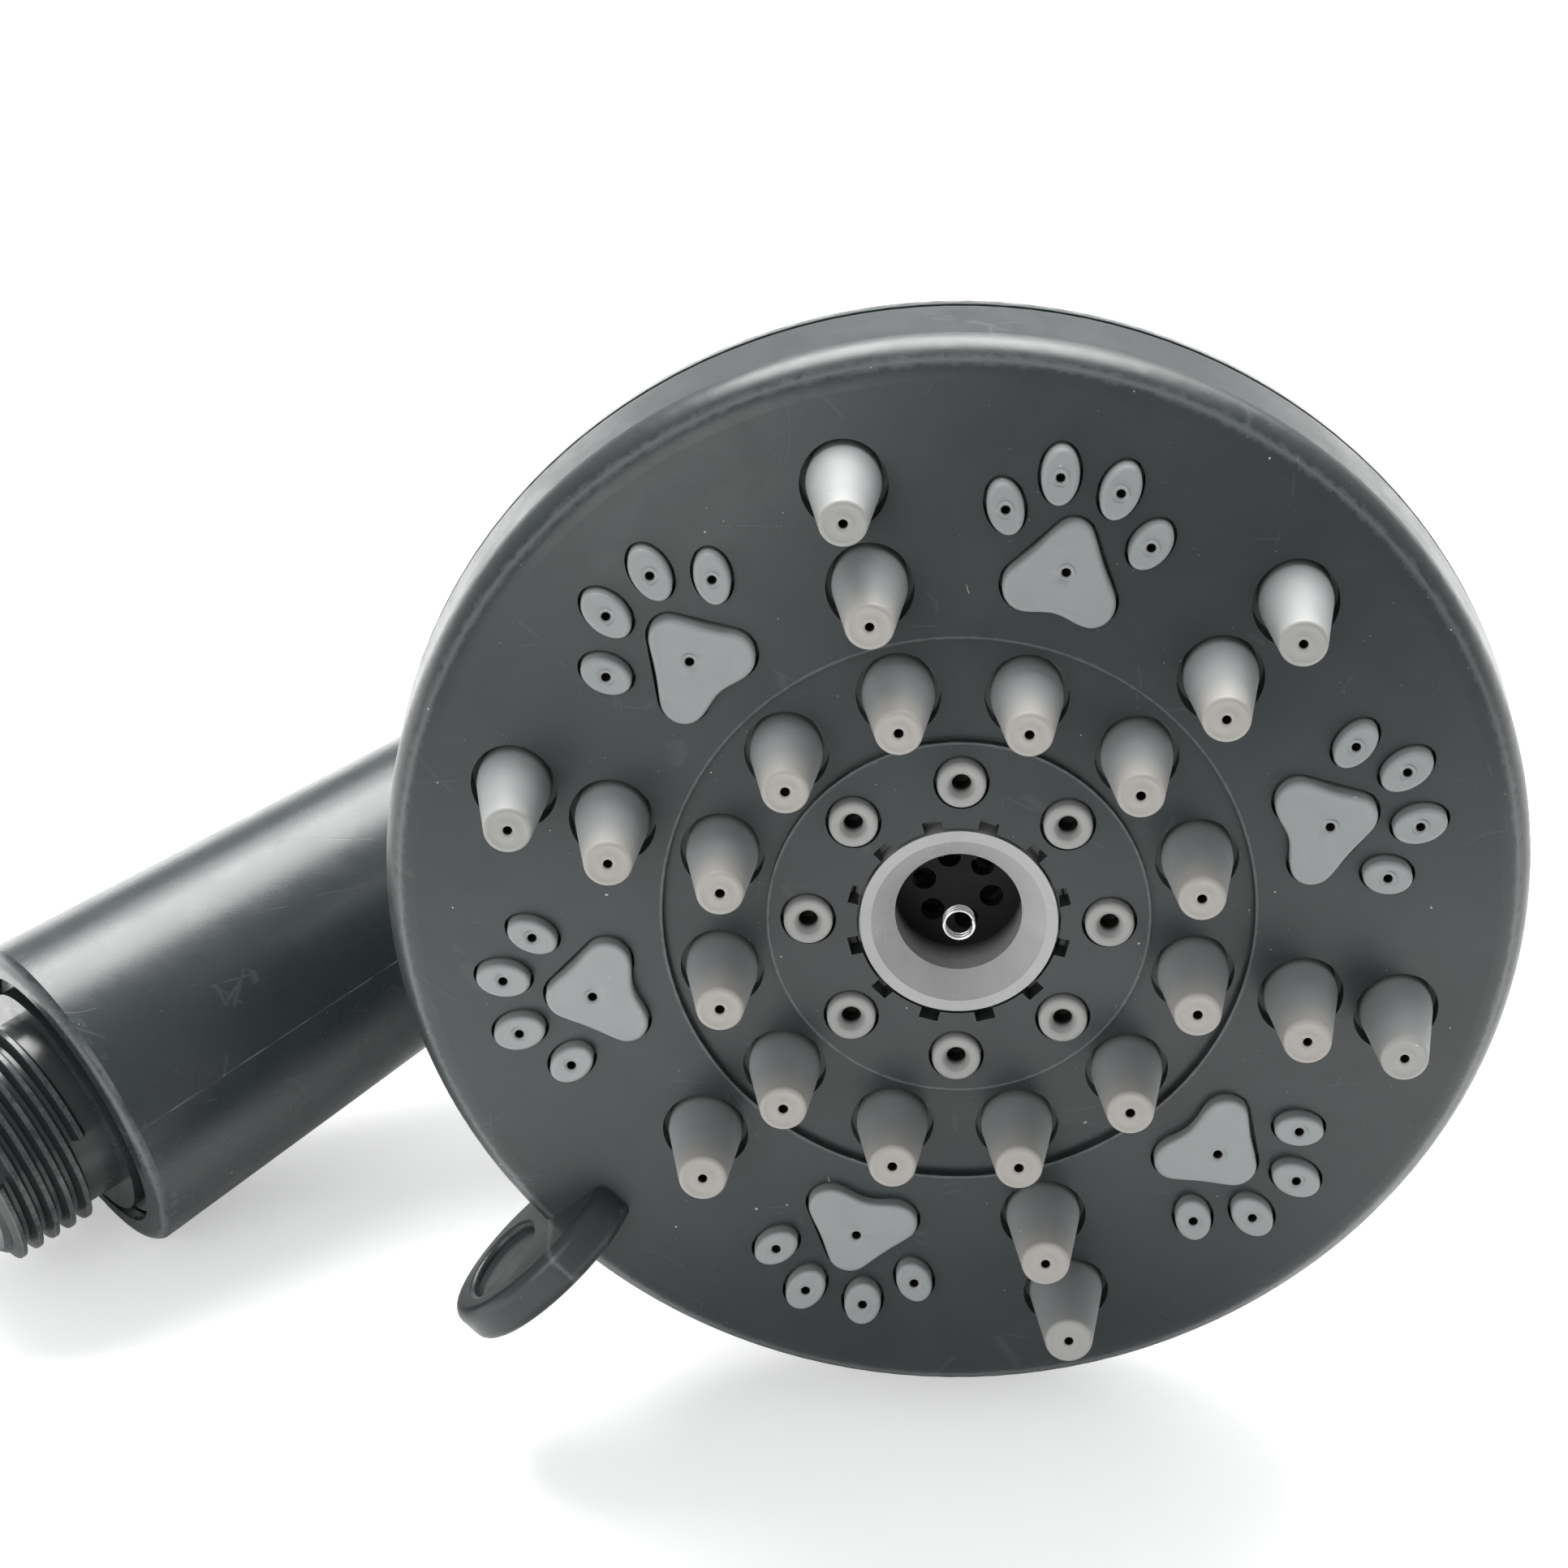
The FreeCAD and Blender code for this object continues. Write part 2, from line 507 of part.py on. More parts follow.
def draw_pad(sketch, grow):
    """Draw a paw's pad: a round outer corner, two lobes and a hollow edge between them."""
    apex = Vector(size("paw_ring + pad_apex"), 0, 0)
    apex_radius = size(f"pad_apex_round + {grow}")
    lobe_radius = size(f"pad_lobe_round + {grow}")
    hollow_radius = size(f"pad_hollow_round - ({grow})")
    back = size("paw_ring - pad_lobe_back")
    side = size("pad_lobe_side")
    reach = math.sqrt((hollow_radius + lobe_radius) ** 2 - side ** 2)
    hollow = Vector(back - reach, 0, 0)
    upper = Vector(back, side, 0)
    along = apex - upper
    lean = math.atan2(along.y, along.x) + math.pi / 2
    swing = math.asin((apex_radius - lobe_radius) / along.Length)
    outward = Vector(math.cos(lean - swing), math.sin(lean - swing), 0)

    def mirrored(point):
        return Vector(point.x, -point.y, 0)

    lower = mirrored(upper)
    hollow_touch = hollow + (upper - hollow).normalize() * hollow_radius
    apex_touch = apex + outward * apex_radius
    lobe_touch = upper + outward * lobe_radius
    outline = [
        (mirrored(apex_touch), apex_touch, apex),
        (apex_touch, lobe_touch, None),
        (lobe_touch, hollow_touch, upper),
        (hollow_touch, mirrored(hollow_touch), hollow),
        (mirrored(hollow_touch), mirrored(lobe_touch), lower),
        (mirrored(lobe_touch), mirrored(apex_touch), None),
    ]
    edges = []
    for start, stop, centre in outline:
        if centre is None:
            edges.append((sketch.addGeometry(Part.LineSegment(start, stop), False), 1, 2))
            continue
        arc, backwards = arc_about(centre, start, stop)
        geometry = sketch.addGeometry(arc, False)
        edges.append((geometry, 2 if backwards else 1, 1 if backwards else 2))
    for before, here in zip(edges, edges[1:] + edges[:1]):
        sketch.addConstraint(Sketcher.Constraint("Tangent", before[0], before[2], here[0], here[1]))
    rounds = ((0, f"pad_apex_round + {grow}"), (2, f"pad_lobe_round + {grow}"),
              (3, f"pad_hollow_round - ({grow})"), (4, f"pad_lobe_round + {grow}"))
    for index, radius in rounds:
        held = sketch.addConstraint(Sketcher.Constraint("Radius", edges[index][0], size(radius)))
        bind(sketch, f"Constraints[{held}]", radius)
    hold_point(sketch, edges[0][0], 3, "paw_ring + pad_apex", "0")
    hold_point(sketch, edges[2][0], 3, "paw_ring - pad_lobe_back", "pad_lobe_side")
    hold_point(sketch, edges[4][0], 3, "paw_ring - pad_lobe_back", "-pad_lobe_side")


TOES = (
    ("toe_mid_along", "toe_mid_side", "toe_mid_long", "toe_mid_wide", "toe_mid_turn"),
    ("toe_mid_along", "-toe_mid_side", "toe_mid_long", "toe_mid_wide", "-toe_mid_turn"),
    ("toe_side_along", "toe_side_side", "toe_side_long", "toe_side_wide", "toe_side_turn"),
    ("toe_side_along", "-toe_side_side", "toe_side_long", "toe_side_wide", "-toe_side_turn"),
)


def draw_paw(sketch, grow):
    """Draw one paw along the sketch's own X axis: its pad and its four toes."""
    draw_pad(sketch, grow)
    for along, side, half_long, half_wide, turn in TOES:
        draw_ellipse(sketch, along, side, f"{half_long} + {grow}", f"{half_wide} + {grow}", turn)


# ---------------------------------------------------------------- the dial

def make_dial_cap():
    """The turning face: dome, side wall, thumb lever, ring channel and nozzle holes."""
    body = new_body("dial_cap")
    inner = "face_radius - cap_wall"
    revolve(body, "dome_blank", [
        ("0", "-cap_depth"),
        ("face_radius", "-cap_depth"),
        ("face_radius", dome("face_radius"), "dome_radius"),
        ("0", "dome_crown"),
    ])
    rim = size(dome("face_radius"))
    round_edges(body, "rim_fillet", "rim_round",
                lambda edge: abs(edge.BoundBox.ZMax - rim) < 0.01 and edge.BoundBox.ZLength < 0.01)
    sketch = new_sketch(body, "lever_outline", "XZ_Plane")
    draw_ellipse(sketch, "lever_radius", "lever_height", "lever_half_reach", "lever_half_rise", "0")
    pad(body, "lever", sketch, "lever_thick", both_ways=True)
    half = size("lever_thick / 2")
    inside = size("face_radius + 0.4")

    def lever_edge(edge):
        box = edge.BoundBox
        flat = abs(abs(box.YMin) - half) < 0.01 and box.YLength < 0.01
        return flat and box.XMax > inside

    round_edges(body, "lever_fillet", "lever_round", lever_edge)
    sides = (("near_dish", "-lever_thick / 2", False), ("far_dish", "lever_thick / 2", True))
    for name, side, flip in sides:
        sketch = new_sketch(body, name + "_outline", "XZ_Plane", ("0", side))
        draw_ellipse(sketch, "dish_radius", "lever_height", "dish_half_rise", "dish_half_reach", "90")
        pocket(body, name, sketch, "dish_depth", flip)

    def dish_edge(edge):
        box = edge.BoundBox
        flat = abs(abs(box.YMin) - half) < 0.01 and box.YLength < 0.01
        return flat and edge.isClosed()

    round_edges(body, "dish_rims", "dish_round", dish_edge)
    revolve(body, "hollow", [
        ("0", "-cap_depth - cap_wall"),
        (inner, "-cap_depth - cap_wall"),
        (inner, dome(inner, "face_thick"), "dome_radius - face_thick"),
        ("0", dome("0", "face_thick")),
    ], cut=True)
    revolve(body, "ring_channel", [
        ("channel_inner", dome("channel_inner", "channel_depth"), "dome_radius - channel_depth"),
        ("channel_outer", dome("channel_outer", "channel_depth")),
        ("channel_outer", "dome_crown + channel_depth"),
        ("channel_inner", "dome_crown + channel_depth"),
    ], cut=True)
    top = "dome_crown + channel_depth"
    drill(body, "centre_opening", OPENING, top, "cap_depth")
    sketch = new_sketch(body, "notch_outline", "XY_Plane", height=top)
    draw_profile(sketch, [
        (f"{OPENING} - notch_width", "-notch_width / 2"),
        ("notch_reach", "-notch_width / 2"),
        ("notch_reach", "notch_width / 2"),
        (f"{OPENING} - notch_width", "notch_width / 2"),
    ])
    notch = pocket(body, "notch", sketch, "cap_depth")
    around(body, "notches", [notch], "notch_count")
    rings = (
        ("inner", "inner_nozzle + hole_gap", "inner_ring", "0", "inner_count", "360"),
        ("middle", "middle_base + cone_gap", "middle_ring", "0", "middle_count", "360"),
        ("near", "outer_base + cone_gap", "near_ring", "0", "outer_count", "360"),
        ("far", "outer_base + cone_gap", "far_ring", "360 / outer_count", "outer_count - 1",
         "360 - 720 / outer_count"),
    )
    for name, radius, ring, start, count, angle in rings:
        hole = drill(body, name + "_hole", radius, top, "cap_depth",
                     polar(ring, start))
        around(body, name + "_holes", [hole], count, angle)
    sketch = new_sketch(body, "paw_outline", "XY_Plane", height=top, turn="180 / outer_count")
    draw_paw(sketch, "hole_gap")
    paw = pocket(body, "paw_hole", sketch, "cap_depth")
    around(body, "paw_holes", [paw], "outer_count")
    place_dial(body)


def mat_ring(body, inner, outer):
    """The web of a soft mat, lying against the face plate's domed underside."""
    revolve(body, "web", [
        (inner, dome(inner, CHAMBER_TOP), f"dome_radius - ({CHAMBER_TOP})"),
        (outer, dome(outer, CHAMBER_TOP)),
        (outer, dome(outer, "face_thick"), "dome_radius - face_thick"),
        (inner, dome(inner, "face_thick")),
    ])


def cone(body, name, ring, angle, foot, end, tip, bore, count, sweep):
    """A ring of hollow cones that stand on a mat, each with a rounded rim and a fine bore."""
    web_bottom = f"({dome(ring, CHAMBER_TOP)})"
    web_inside = f"({dome(ring, 'face_thick')}) - mat_thick / 2"
    face_level = f"({dome(ring)})"
    solid = revolve(body, name + "_cone", [
        ("0", web_inside),
        (foot, web_inside),
        (foot, face_level),
        (end, f"{tip} - tip_round"),
        (f"{end} - tip_round", tip),
        ("0", tip),
    ], polar(ring, angle))
    widening = f"({bore}) * bore_flare"
    funnel = revolve(body, name + "_bore", [
        ("0", f"{web_bottom} - mat_thick"),
        (widening, f"{web_bottom} - mat_thick"),
        (widening, face_level),
        (bore, f"{tip} - bore_land"),
        (bore, f"{tip} + tip_round"),
        ("0", f"{tip} + tip_round"),
    ], polar(ring, angle), cut=True)
    around(body, name + "_cones", [solid, funnel], count, sweep)


def make_outer_mat():
    """Soft outer mat: eleven long cones and six paws of one pad and four toes."""
    body = new_body("outer_nozzle_mat")
    mat_ring(body, "rib_outer + mat_split", f"{PLATE_RIM} - mat_split")
    low = dome("toe_mid_along + toe_mid_long", "face_thick + mat_thick / 2")
    sketch = new_sketch(body, "paw_outline", "XY_Plane", height=low, turn="180 / outer_count")
    draw_paw(sketch, "0")
    raised = pad(body, "paw", sketch, "face_thick + mat_thick + paw_stand + toe_mid_long")
    around(body, "paws", [raised], "outer_count")
    revolve(body, "paw_tops", [
        ("rib_outer + mat_split", dome("rib_outer + mat_split", "-paw_stand"), "dome_radius + paw_stand"),
        (PLATE_RIM, dome(PLATE_RIM, "-paw_stand")),
        (PLATE_RIM, "cap_depth"),
        ("rib_outer + mat_split", "cap_depth"),
    ], cut=True)
    holes = []
    sites = [("pad", "paw_ring", "0")] + [(f"toe_{i}", toe[0], toe[1]) for i, toe in enumerate(TOES)]
    for name, along, side in sites:
        sketch = new_sketch(body, name + "_circle", "XY_Plane", height="paw_stand",
                            turn="180 / outer_count")
        draw_circle(sketch, "outer_bore", along, side)
        holes.append(pocket(body, name + "_hole", sketch, "cap_depth"))
    around(body, "paw_bores", holes, "outer_count")
    cone(body, "near", "near_ring", "0", "outer_base", "outer_end", "near_tip", "outer_bore",
         "outer_count", "360")
    cone(body, "far", "far_ring", "360 / outer_count", "outer_base", "outer_end", "far_tip",
         "outer_bore", "outer_count - 1", "360 - 720 / outer_count")
    place_dial(body)


def make_middle_mat():
    """Soft middle mat with its ring of long cones, under the ring channel."""
    body = new_body("middle_nozzle_mat")
    mat_ring(body, "rib_inner + mat_split", "rib_outer - mat_split")
    cone(body, "middle", "middle_ring", "0", "middle_base", "middle_end", "middle_tip",
         "middle_bore", "middle_count", "360")
    place_dial(body)


def make_inner_mat():
    """Soft inner mat with its ring of short round nozzles."""
    body = new_body("inner_nozzle_mat")
    mat_ring(body, "ring_radius + ring_flange + mat_split", "rib_inner - mat_split")
    ring = "inner_ring"
    solid = revolve(body, "nozzle", [
        ("0", f"({dome(ring, 'face_thick')}) - mat_thick / 2"),
        ("inner_nozzle", f"({dome(ring, 'face_thick')}) - mat_thick / 2"),
        ("inner_nozzle", "inner_tip - tip_round"),
        ("inner_nozzle - tip_round", "inner_tip"),
        ("0", "inner_tip"),
    ], polar(ring, "0"))
    bore = revolve(body, "nozzle_bore", [
        ("0", f"({dome(ring, CHAMBER_TOP)}) - mat_thick"),
        ("inner_bore", f"({dome(ring, CHAMBER_TOP)}) - mat_thick"),
        ("inner_bore", "inner_tip - tip_round"),
        ("inner_bore + tip_round", "inner_tip"),
        ("inner_bore + tip_round", "inner_tip + tip_round"),
        ("0", "inner_tip + tip_round"),
    ], polar(ring, "0"), cut=True)
    around(body, "nozzles", [solid, bore], "inner_count")
    place_dial(body)


def make_centre_ring():
    """Pale outlet ring in the middle of the face, with a wide chamfer into its bore."""
    body = new_body("centre_ring")
    top = dome("ring_land")
    flange_top = dome("ring_radius + ring_flange", "face_thick")
    flange_bottom = dome("ring_radius + ring_flange", CHAMBER_TOP)
    revolve(body, "ring", [
        ("ring_bore", "ring_bottom"),
        ("rib_centre - dial_gap * 2", "ring_bottom"),
        ("rib_centre - dial_gap * 2", flange_bottom),
        ("ring_radius + ring_flange", flange_bottom),
        ("ring_radius + ring_flange", flange_top),
        ("ring_radius", flange_top),
        ("ring_radius", top),
        ("ring_land", top),
        ("ring_bore", f"{top} - ring_chamfer"),
    ])
    place_dial(body)


def make_jet_core():
    """Disc low in the centre ring, with a ring of holes that steadies the middle jets."""
    body = new_body("jet_core")
    revolve(body, "disc", [
        ("0", "ring_bottom"),
        ("ring_bore", "ring_bottom"),
        ("ring_bore", "ring_bottom + core_thick"),
        ("0", "ring_bottom + core_thick"),
    ])
    hole = drill(body, "jet_hole", "core_hole", "ring_bottom + core_thick", "core_thick * 2",
                 polar("core_hole_ring", "0"))
    around(body, "jet_holes", [hole], "core_hole_count")
    place_dial(body)


def rib(inner, outer):
    """Profile points of one round wall of the channel plate, walked from outside to inside."""
    floor = "plate_bottom + plate_floor"
    return [(outer, floor), (outer, dome(outer, CHAMBER_TOP)),
            (inner, dome(inner, CHAMBER_TOP)), (inner, floor)]


def chamber_ports(body, top, depth):
    """Cut the three ports that lead up into the outer, middle and inner chambers."""
    sites = (
        ("outer", "port_radius", "port_ring", "port_angle"),
        ("middle", "middle_port", "middle_port_ring", "port_angle + mode_step"),
        ("inner", "inner_port", "inner_port_ring", "port_angle + 2 * mode_step"),
    )
    for name, radius, ring, angle in sites:
        drill(body, name + "_port", radius, top, depth, polar(ring, angle))


def dial_screw_holes(body, radius, top, depth):
    """Cut the ring of holes for the screws that close the dial."""
    hole = drill(body, "screw_hole", radius, top, depth,
                 polar("dial_screw_ring", "180 / dial_screw_count"))
    around(body, "screw_holes", [hole], "dial_screw_count")


def make_channel_plate():
    """Rigid plate whose round walls part the water chambers and press the mats to the face."""
    body = new_body("channel_plate")
    points = [("rib_centre", "plate_bottom"), (PLATE_RIM, "plate_bottom"),
              (PLATE_RIM, dome(PLATE_RIM, CHAMBER_TOP)),
              (EDGE_INNER, dome(EDGE_INNER, CHAMBER_TOP)), (EDGE_INNER, "plate_bottom + plate_floor")]
    points += rib("rib_outer - rib_outer_half", "rib_outer + rib_outer_half")
    points += rib("rib_inner - rib_inner_half", "rib_inner + rib_inner_half")
    points += rib("rib_centre", "rib_centre + rib_centre_wall")[:3]
    revolve(body, "ribs", points)
    chamber_ports(body, "plate_bottom + plate_floor", "plate_floor * 2")
    sketch = new_sketch(body, "screw_circle", "XY_Plane",
                        polar("dial_screw_ring", "180 / dial_screw_count"), "plate_bottom")
    draw_circle(sketch, "dial_screw")
    depth = "dial_screw_depth - gasket_thick - valve_thick"
    hole = body.newObject("PartDesign::Pocket", "screw_hole")
    hole.Profile = sketch
    hole.Reversed = True
    bind(hole, "Length", depth)
    doc.recompute()
    around(body, "screw_holes", [hole], "dial_screw_count")
    place_dial(body)


def make_chamber_gasket():
    """Flat rubber gasket between the channel plate and the valve plate."""
    body = new_body("chamber_gasket")
    revolve(body, "sheet", [
        ("rib_centre", VALVE_TOP),
        (VALVE_RIM, VALVE_TOP),
        (VALVE_RIM, GASKET_TOP),
        ("rib_centre", GASKET_TOP),
    ])
    chamber_ports(body, GASKET_TOP, "gasket_thick * 2")
    dial_screw_holes(body, "dial_screw", GASKET_TOP, "gasket_thick * 2")
    place_dial(body)


def duct(body, name, index, inner_reach):
    """A duct in the valve plate's top that leads from a port inwards to a chamber."""
    sketch = new_sketch(body, name + "_outline", "XY_Plane", height=VALVE_TOP,
                        turn=f"port_angle + {index} * mode_step")
    draw_profile(sketch, [
        (inner_reach, "-duct_half"),
        ("port_ring", "-duct_half"),
        ("port_ring", "duct_half"),
        (inner_reach, "duct_half"),
    ])
    pocket(body, name, sketch, "duct_depth")


def make_valve_plate():
    """Lower plate of the dial: its ports sweep over the fixed outlet and pick the spray."""
    body = new_body("valve_plate")
    revolve(body, "disc", [
        ("pivot_radius + pivot_play", VALVE_BOTTOM),
        (VALVE_RIM, VALVE_BOTTOM),
        (VALVE_RIM, VALVE_TOP),
        ("rib_centre", VALVE_TOP),
        ("rib_centre", VALVE_TOP + " - washer_sink"),
        ("pivot_radius + pivot_play", VALVE_TOP + " - washer_sink"),
    ])
    for index in range(int(size("mode_count"))):
        drill(body, f"port_{index + 1}", "port_radius", VALVE_TOP, "valve_thick * 2",
              polar("port_ring", f"port_angle + {index} * mode_step"))
    duct(body, "middle_duct", 1, "middle_port_ring")
    duct(body, "inner_duct", 2, "duct_centre")
    notch = revolve(body, "detent_notch", [
        ("0", VALVE_BOTTOM + " - detent_lift"),
        ("detent_radius + dial_gap", VALVE_BOTTOM + " - detent_lift"),
        ("detent_radius + dial_gap", VALVE_BOTTOM),
        ("detent_radius / 2 + dial_gap", VALVE_BOTTOM + " + detent_lift + dial_gap"),
        ("0", VALVE_BOTTOM + " + detent_lift + dial_gap"),
    ], polar("detent_ring", "detent_angle"), cut=True)
    around(body, "detent_notches", [notch], "mode_count", "mode_step * (mode_count - 1)")
    screw = revolve(body, "screw_seat", [
        ("0", VALVE_BOTTOM + " - gasket_thick"),
        ("dial_screw_head", VALVE_BOTTOM + " - gasket_thick"),
        ("dial_screw_head", VALVE_BOTTOM),
        ("dial_screw", VALVE_BOTTOM + " + dial_screw_head - dial_screw"),
        ("dial_screw", VALVE_TOP + " + gasket_thick"),
        ("0", VALVE_TOP + " + gasket_thick"),
    ], polar("dial_screw_ring", "180 / dial_screw_count"), cut=True)
    around(body, "screw_seats", [screw], "dial_screw_count")
    place_dial(body)


def countersunk_screw(shank, head, length, slot):
    """A countersunk screw that points up, with a flat drive slot; its head's face is at zero."""
    taper = head - shank
    solid = Part.makeCone(head, shank, taper).fuse(
        Part.makeCylinder(shank, length - taper, Vector(0, 0, taper)))
    drive = Part.makeBox(2 * head, slot, slot, Vector(-head, -slot / 2, 0))
    return solid.cut(drive)


def ring_of(shape, count, radius, first_angle):
    """Copies of a shape round the Z axis, as one group of separate solids."""
    copies = []
    for index in range(count):
        angle = first_angle + 360 * index / count
        copy = shape.copy()
        copy.translate(Vector(radius, 0, 0))
        copy.rotate(Vector(0, 0, 0), Vector(0, 0, 1), angle)
        copies.append(copy)
    return Part.makeCompound(copies)


def make_dial_screws():
    """The screws that hold valve plate and gasket up against the channel plate."""
    screw = countersunk_screw(size("dial_screw"), size("dial_screw_head"), size("dial_screw_depth"),
                              size("dial_screw / 3"))
    screw.translate(Vector(0, 0, size(VALVE_BOTTOM)))
    count = int(size("dial_screw_count"))
    group = ring_of(screw, count, size("dial_screw_ring"), 180 / count)
    place_dial(plain_part("dial_screws", group))


# ---------------------------------------------------------------- the fixed head

def make_port_plate():
    """Fixed plate with the pivot post, the one water outlet, the detent pocket and drum wall."""
    body = new_body("port_plate")
    revolve(body, "disc", [
        ("0", SEAT_BOTTOM),
        ("drum_inner", SEAT_BOTTOM),
        ("drum_inner", DRUM_BOTTOM),
        ("drum_inner + drum_wall", DRUM_BOTTOM),
        ("drum_inner + drum_wall", SEAT_BOTTOM),
        (SEAT_RIM, SEAT_BOTTOM),
        (SEAT_RIM, SEAT_TOP),
        ("pivot_radius", SEAT_TOP),
        ("pivot_radius", POST_TOP),
        ("0", POST_TOP),
    ])
    sketch = new_sketch(body, "boss_circle", "XY_Plane", polar("detent_ring", WORLD_DETENT),
                        SEAT_TOP + " - detent_pocket - detent_play * 10")
    draw_circle(sketch, "detent_boss")
    pad(body, "detent_boss_pad", sketch, "detent_pocket - dial_gap")
    drill(body, "detent_bore", "detent_radius + detent_play", SEAT_TOP, "detent_pocket",
          polar("detent_ring", WORLD_DETENT))
    drill(body, "outlet", "port_radius", SEAT_TOP, "seat_thick * 2", polar("port_ring", WORLD_PORT))
    drill(body, "seal_seat_bore", "seal_radius", SEAT_TOP, "seal_seat", polar("port_ring", WORLD_PORT))
    sketch = new_sketch(body, "pivot_boss_circle", "XY_Plane",
                        height=POST_TOP + " - pivot_length - dial_gap * 3")
    draw_circle(sketch, "pivot_shank * 2")
    pad(body, "pivot_boss", sketch, "pivot_length - dial_gap")
    drill(body, "pivot_bore", "pivot_shank", POST_TOP, "pivot_length")
    screw = revolve(body, "screw_seat", [
        ("0", SEAT_TOP + " + dial_gap"),
        ("seat_screw_head", SEAT_TOP + " + dial_gap"),
        ("seat_screw_head", SEAT_TOP),
        ("seat_screw", SEAT_TOP + " - seat_screw_head + seat_screw"),
        ("seat_screw", SEAT_BOTTOM + " - dial_gap"),
        ("0", SEAT_BOTTOM + " - dial_gap"),
    ], polar("seat_screw_ring", "seat_screw_angle"), cut=True)
    around(body, "screw_seats", [screw], "seat_screw_count")
    place_head(body)


def seat_ring(shape):
    """Copies of a shape at the port plate's screws."""
    count = int(size("seat_screw_count"))
    return ring_of(shape, count, size("seat_screw_ring"), size("seat_screw_angle"))


def make_seat_screws():
    """The three screws that hold the port plate to the handle shell's bosses."""
    screw = countersunk_screw(size("seat_screw"), size("seat_screw_head"), size("seat_screw_depth"),
                              size("seat_screw / 3"))
    screw.rotate(Vector(0, 0, 0), Vector(1, 0, 0), 180)
    screw.translate(Vector(0, 0, size(SEAT_TOP)))
    place_head(plain_part("port_plate_screws", seat_ring(screw)))


def make_pivot_washer():
    """Washer on the pivot post that keeps the dial from lifting off."""
    body = new_body("pivot_washer")
    revolve(body, "washer", [
        ("pivot_shank", POST_TOP),
        (WASHER_RIM, POST_TOP),
        (WASHER_RIM, POST_TOP + " + washer_thick"),
        ("pivot_shank", POST_TOP + " + washer_thick"),
    ])
    place_head(body)


def make_pivot_screw():
    """Pan-head screw in the middle of the pivot post."""
    body = new_body("pivot_screw")
    seat = POST_TOP + " + washer_thick"
    revolve(body, "screw", [
        ("0", POST_TOP + " - pivot_length"),
        ("pivot_shank", POST_TOP + " - pivot_length"),
        ("pivot_shank", seat),
        ("pivot_head", seat),
        ("pivot_head", seat + " + pivot_head_rise / 2"),
        ("pivot_shank", seat + " + pivot_head_rise"),
        ("0", seat + " + pivot_head_rise"),
    ])
    for index in range(int(size("o_ring_count"))):
        sketch = new_sketch(body, f"slot_outline_{index + 1}", "XY_Plane",
                            height=seat + " + pivot_head_rise", turn=f"90 * {index}")
        draw_profile(sketch, [
            ("-pivot_shank", "-pivot_head / 8"),
            ("pivot_shank", "-pivot_head / 8"),
            ("pivot_shank", "pivot_head / 8"),
            ("-pivot_shank", "pivot_head / 8"),
        ])
        pocket(body, f"slot_{index + 1}", sketch, "pivot_head_rise / 2")
    place_head(body)


def make_port_seal():
    """Rubber cup between the fixed outlet and the valve plate."""
    body = new_body("port_seal")
    bottom = SEAT_TOP + " - seal_seat"
    revolve(body, "cup", [
        ("port_radius", bottom),
        ("seal_radius", bottom),
        ("seal_radius", SEAT_TOP),
        ("seal_radius - seal_play * 4", VALVE_BOTTOM + " - seal_play"),
        ("port_radius + seal_play * 4", VALVE_BOTTOM + " - seal_play"),
        ("port_radius", SEAT_TOP),
    ], polar("port_ring", WORLD_PORT))
    place_head(body)


def make_detent_pin():
    """Round-nosed pin that drops into the valve plate's notches."""
    body = new_body("detent_pin")
    top = VALVE_BOTTOM + " - seal_play"
    revolve(body, "pin", [
        ("0", top + " - detent_pin - detent_radius / 2"),
        ("detent_radius", top + " - detent_pin - detent_radius / 2"),
        ("detent_radius", top + " - detent_radius / 2"),
        ("detent_radius / 2", top),
        ("0", top),
    ], polar("detent_ring", WORLD_DETENT))
    place_head(body)


def make_detent_spring():
    """Small coil spring under the detent pin."""
    wire = size("detent_wire")
    radius = size("detent_radius") - 2 * wire
    bottom = size(SEAT_TOP + " - detent_pocket") + wire
    top = size(VALVE_BOTTOM + " - seal_play - detent_pin - detent_radius / 2") - wire
    rise = top - bottom
    helix = Part.makeHelix(rise / 3, rise, radius)
    circle = Part.Wire(Part.makeCircle(wire, Vector(radius, 0, 0), Vector(0, 1, 0)))
    coil = Part.Wire(helix.Edges).makePipeShell([circle], True, True)
    angle = math.radians(size(WORLD_DETENT))
    ring = size("detent_ring")
    coil.translate(Vector(ring * math.cos(angle), ring * math.sin(angle), bottom))
    place_head(plain_part("detent_spring", coil))


def make_inlet_cover():
    """Lower cover of the water drum, with the nipple that the water tube slides over."""
    body = new_body("inlet_cover")
    revolve(body, "cover", [
        ("nipple_bore", COVER_BOTTOM + " - nipple_length"),
        ("tube_bore", COVER_BOTTOM + " - nipple_length"),
        ("tube_bore", COVER_BOTTOM),
        ("drum_inner + drum_wall", COVER_BOTTOM),
        ("drum_inner + drum_wall", COVER_TOP),
        ("nipple_bore", COVER_TOP),
    ])
    place_head(body)


def make_cover_gasket():
    """Flat rubber ring between the drum's wall and the inlet cover."""
    body = new_body("drum_gasket")
    revolve(body, "ring", [
        ("drum_inner", COVER_TOP),
        ("drum_inner + drum_wall", COVER_TOP),
        ("drum_inner + drum_wall", DRUM_BOTTOM),
        ("drum_inner", DRUM_BOTTOM),
    ])
    place_head(body)


# ---------------------------------------------------------------- handle and waterway

def bend_radius(start_depth):
    """Radius of the bend that starts straight down the spray axis and ends along the handle."""
    lean = math.radians(size("lean"))
    rise = size(f"drop - ({start_depth})") + size("reach") * math.tan(lean)
    return rise * math.cos(lean) / (1 + math.sin(lean))


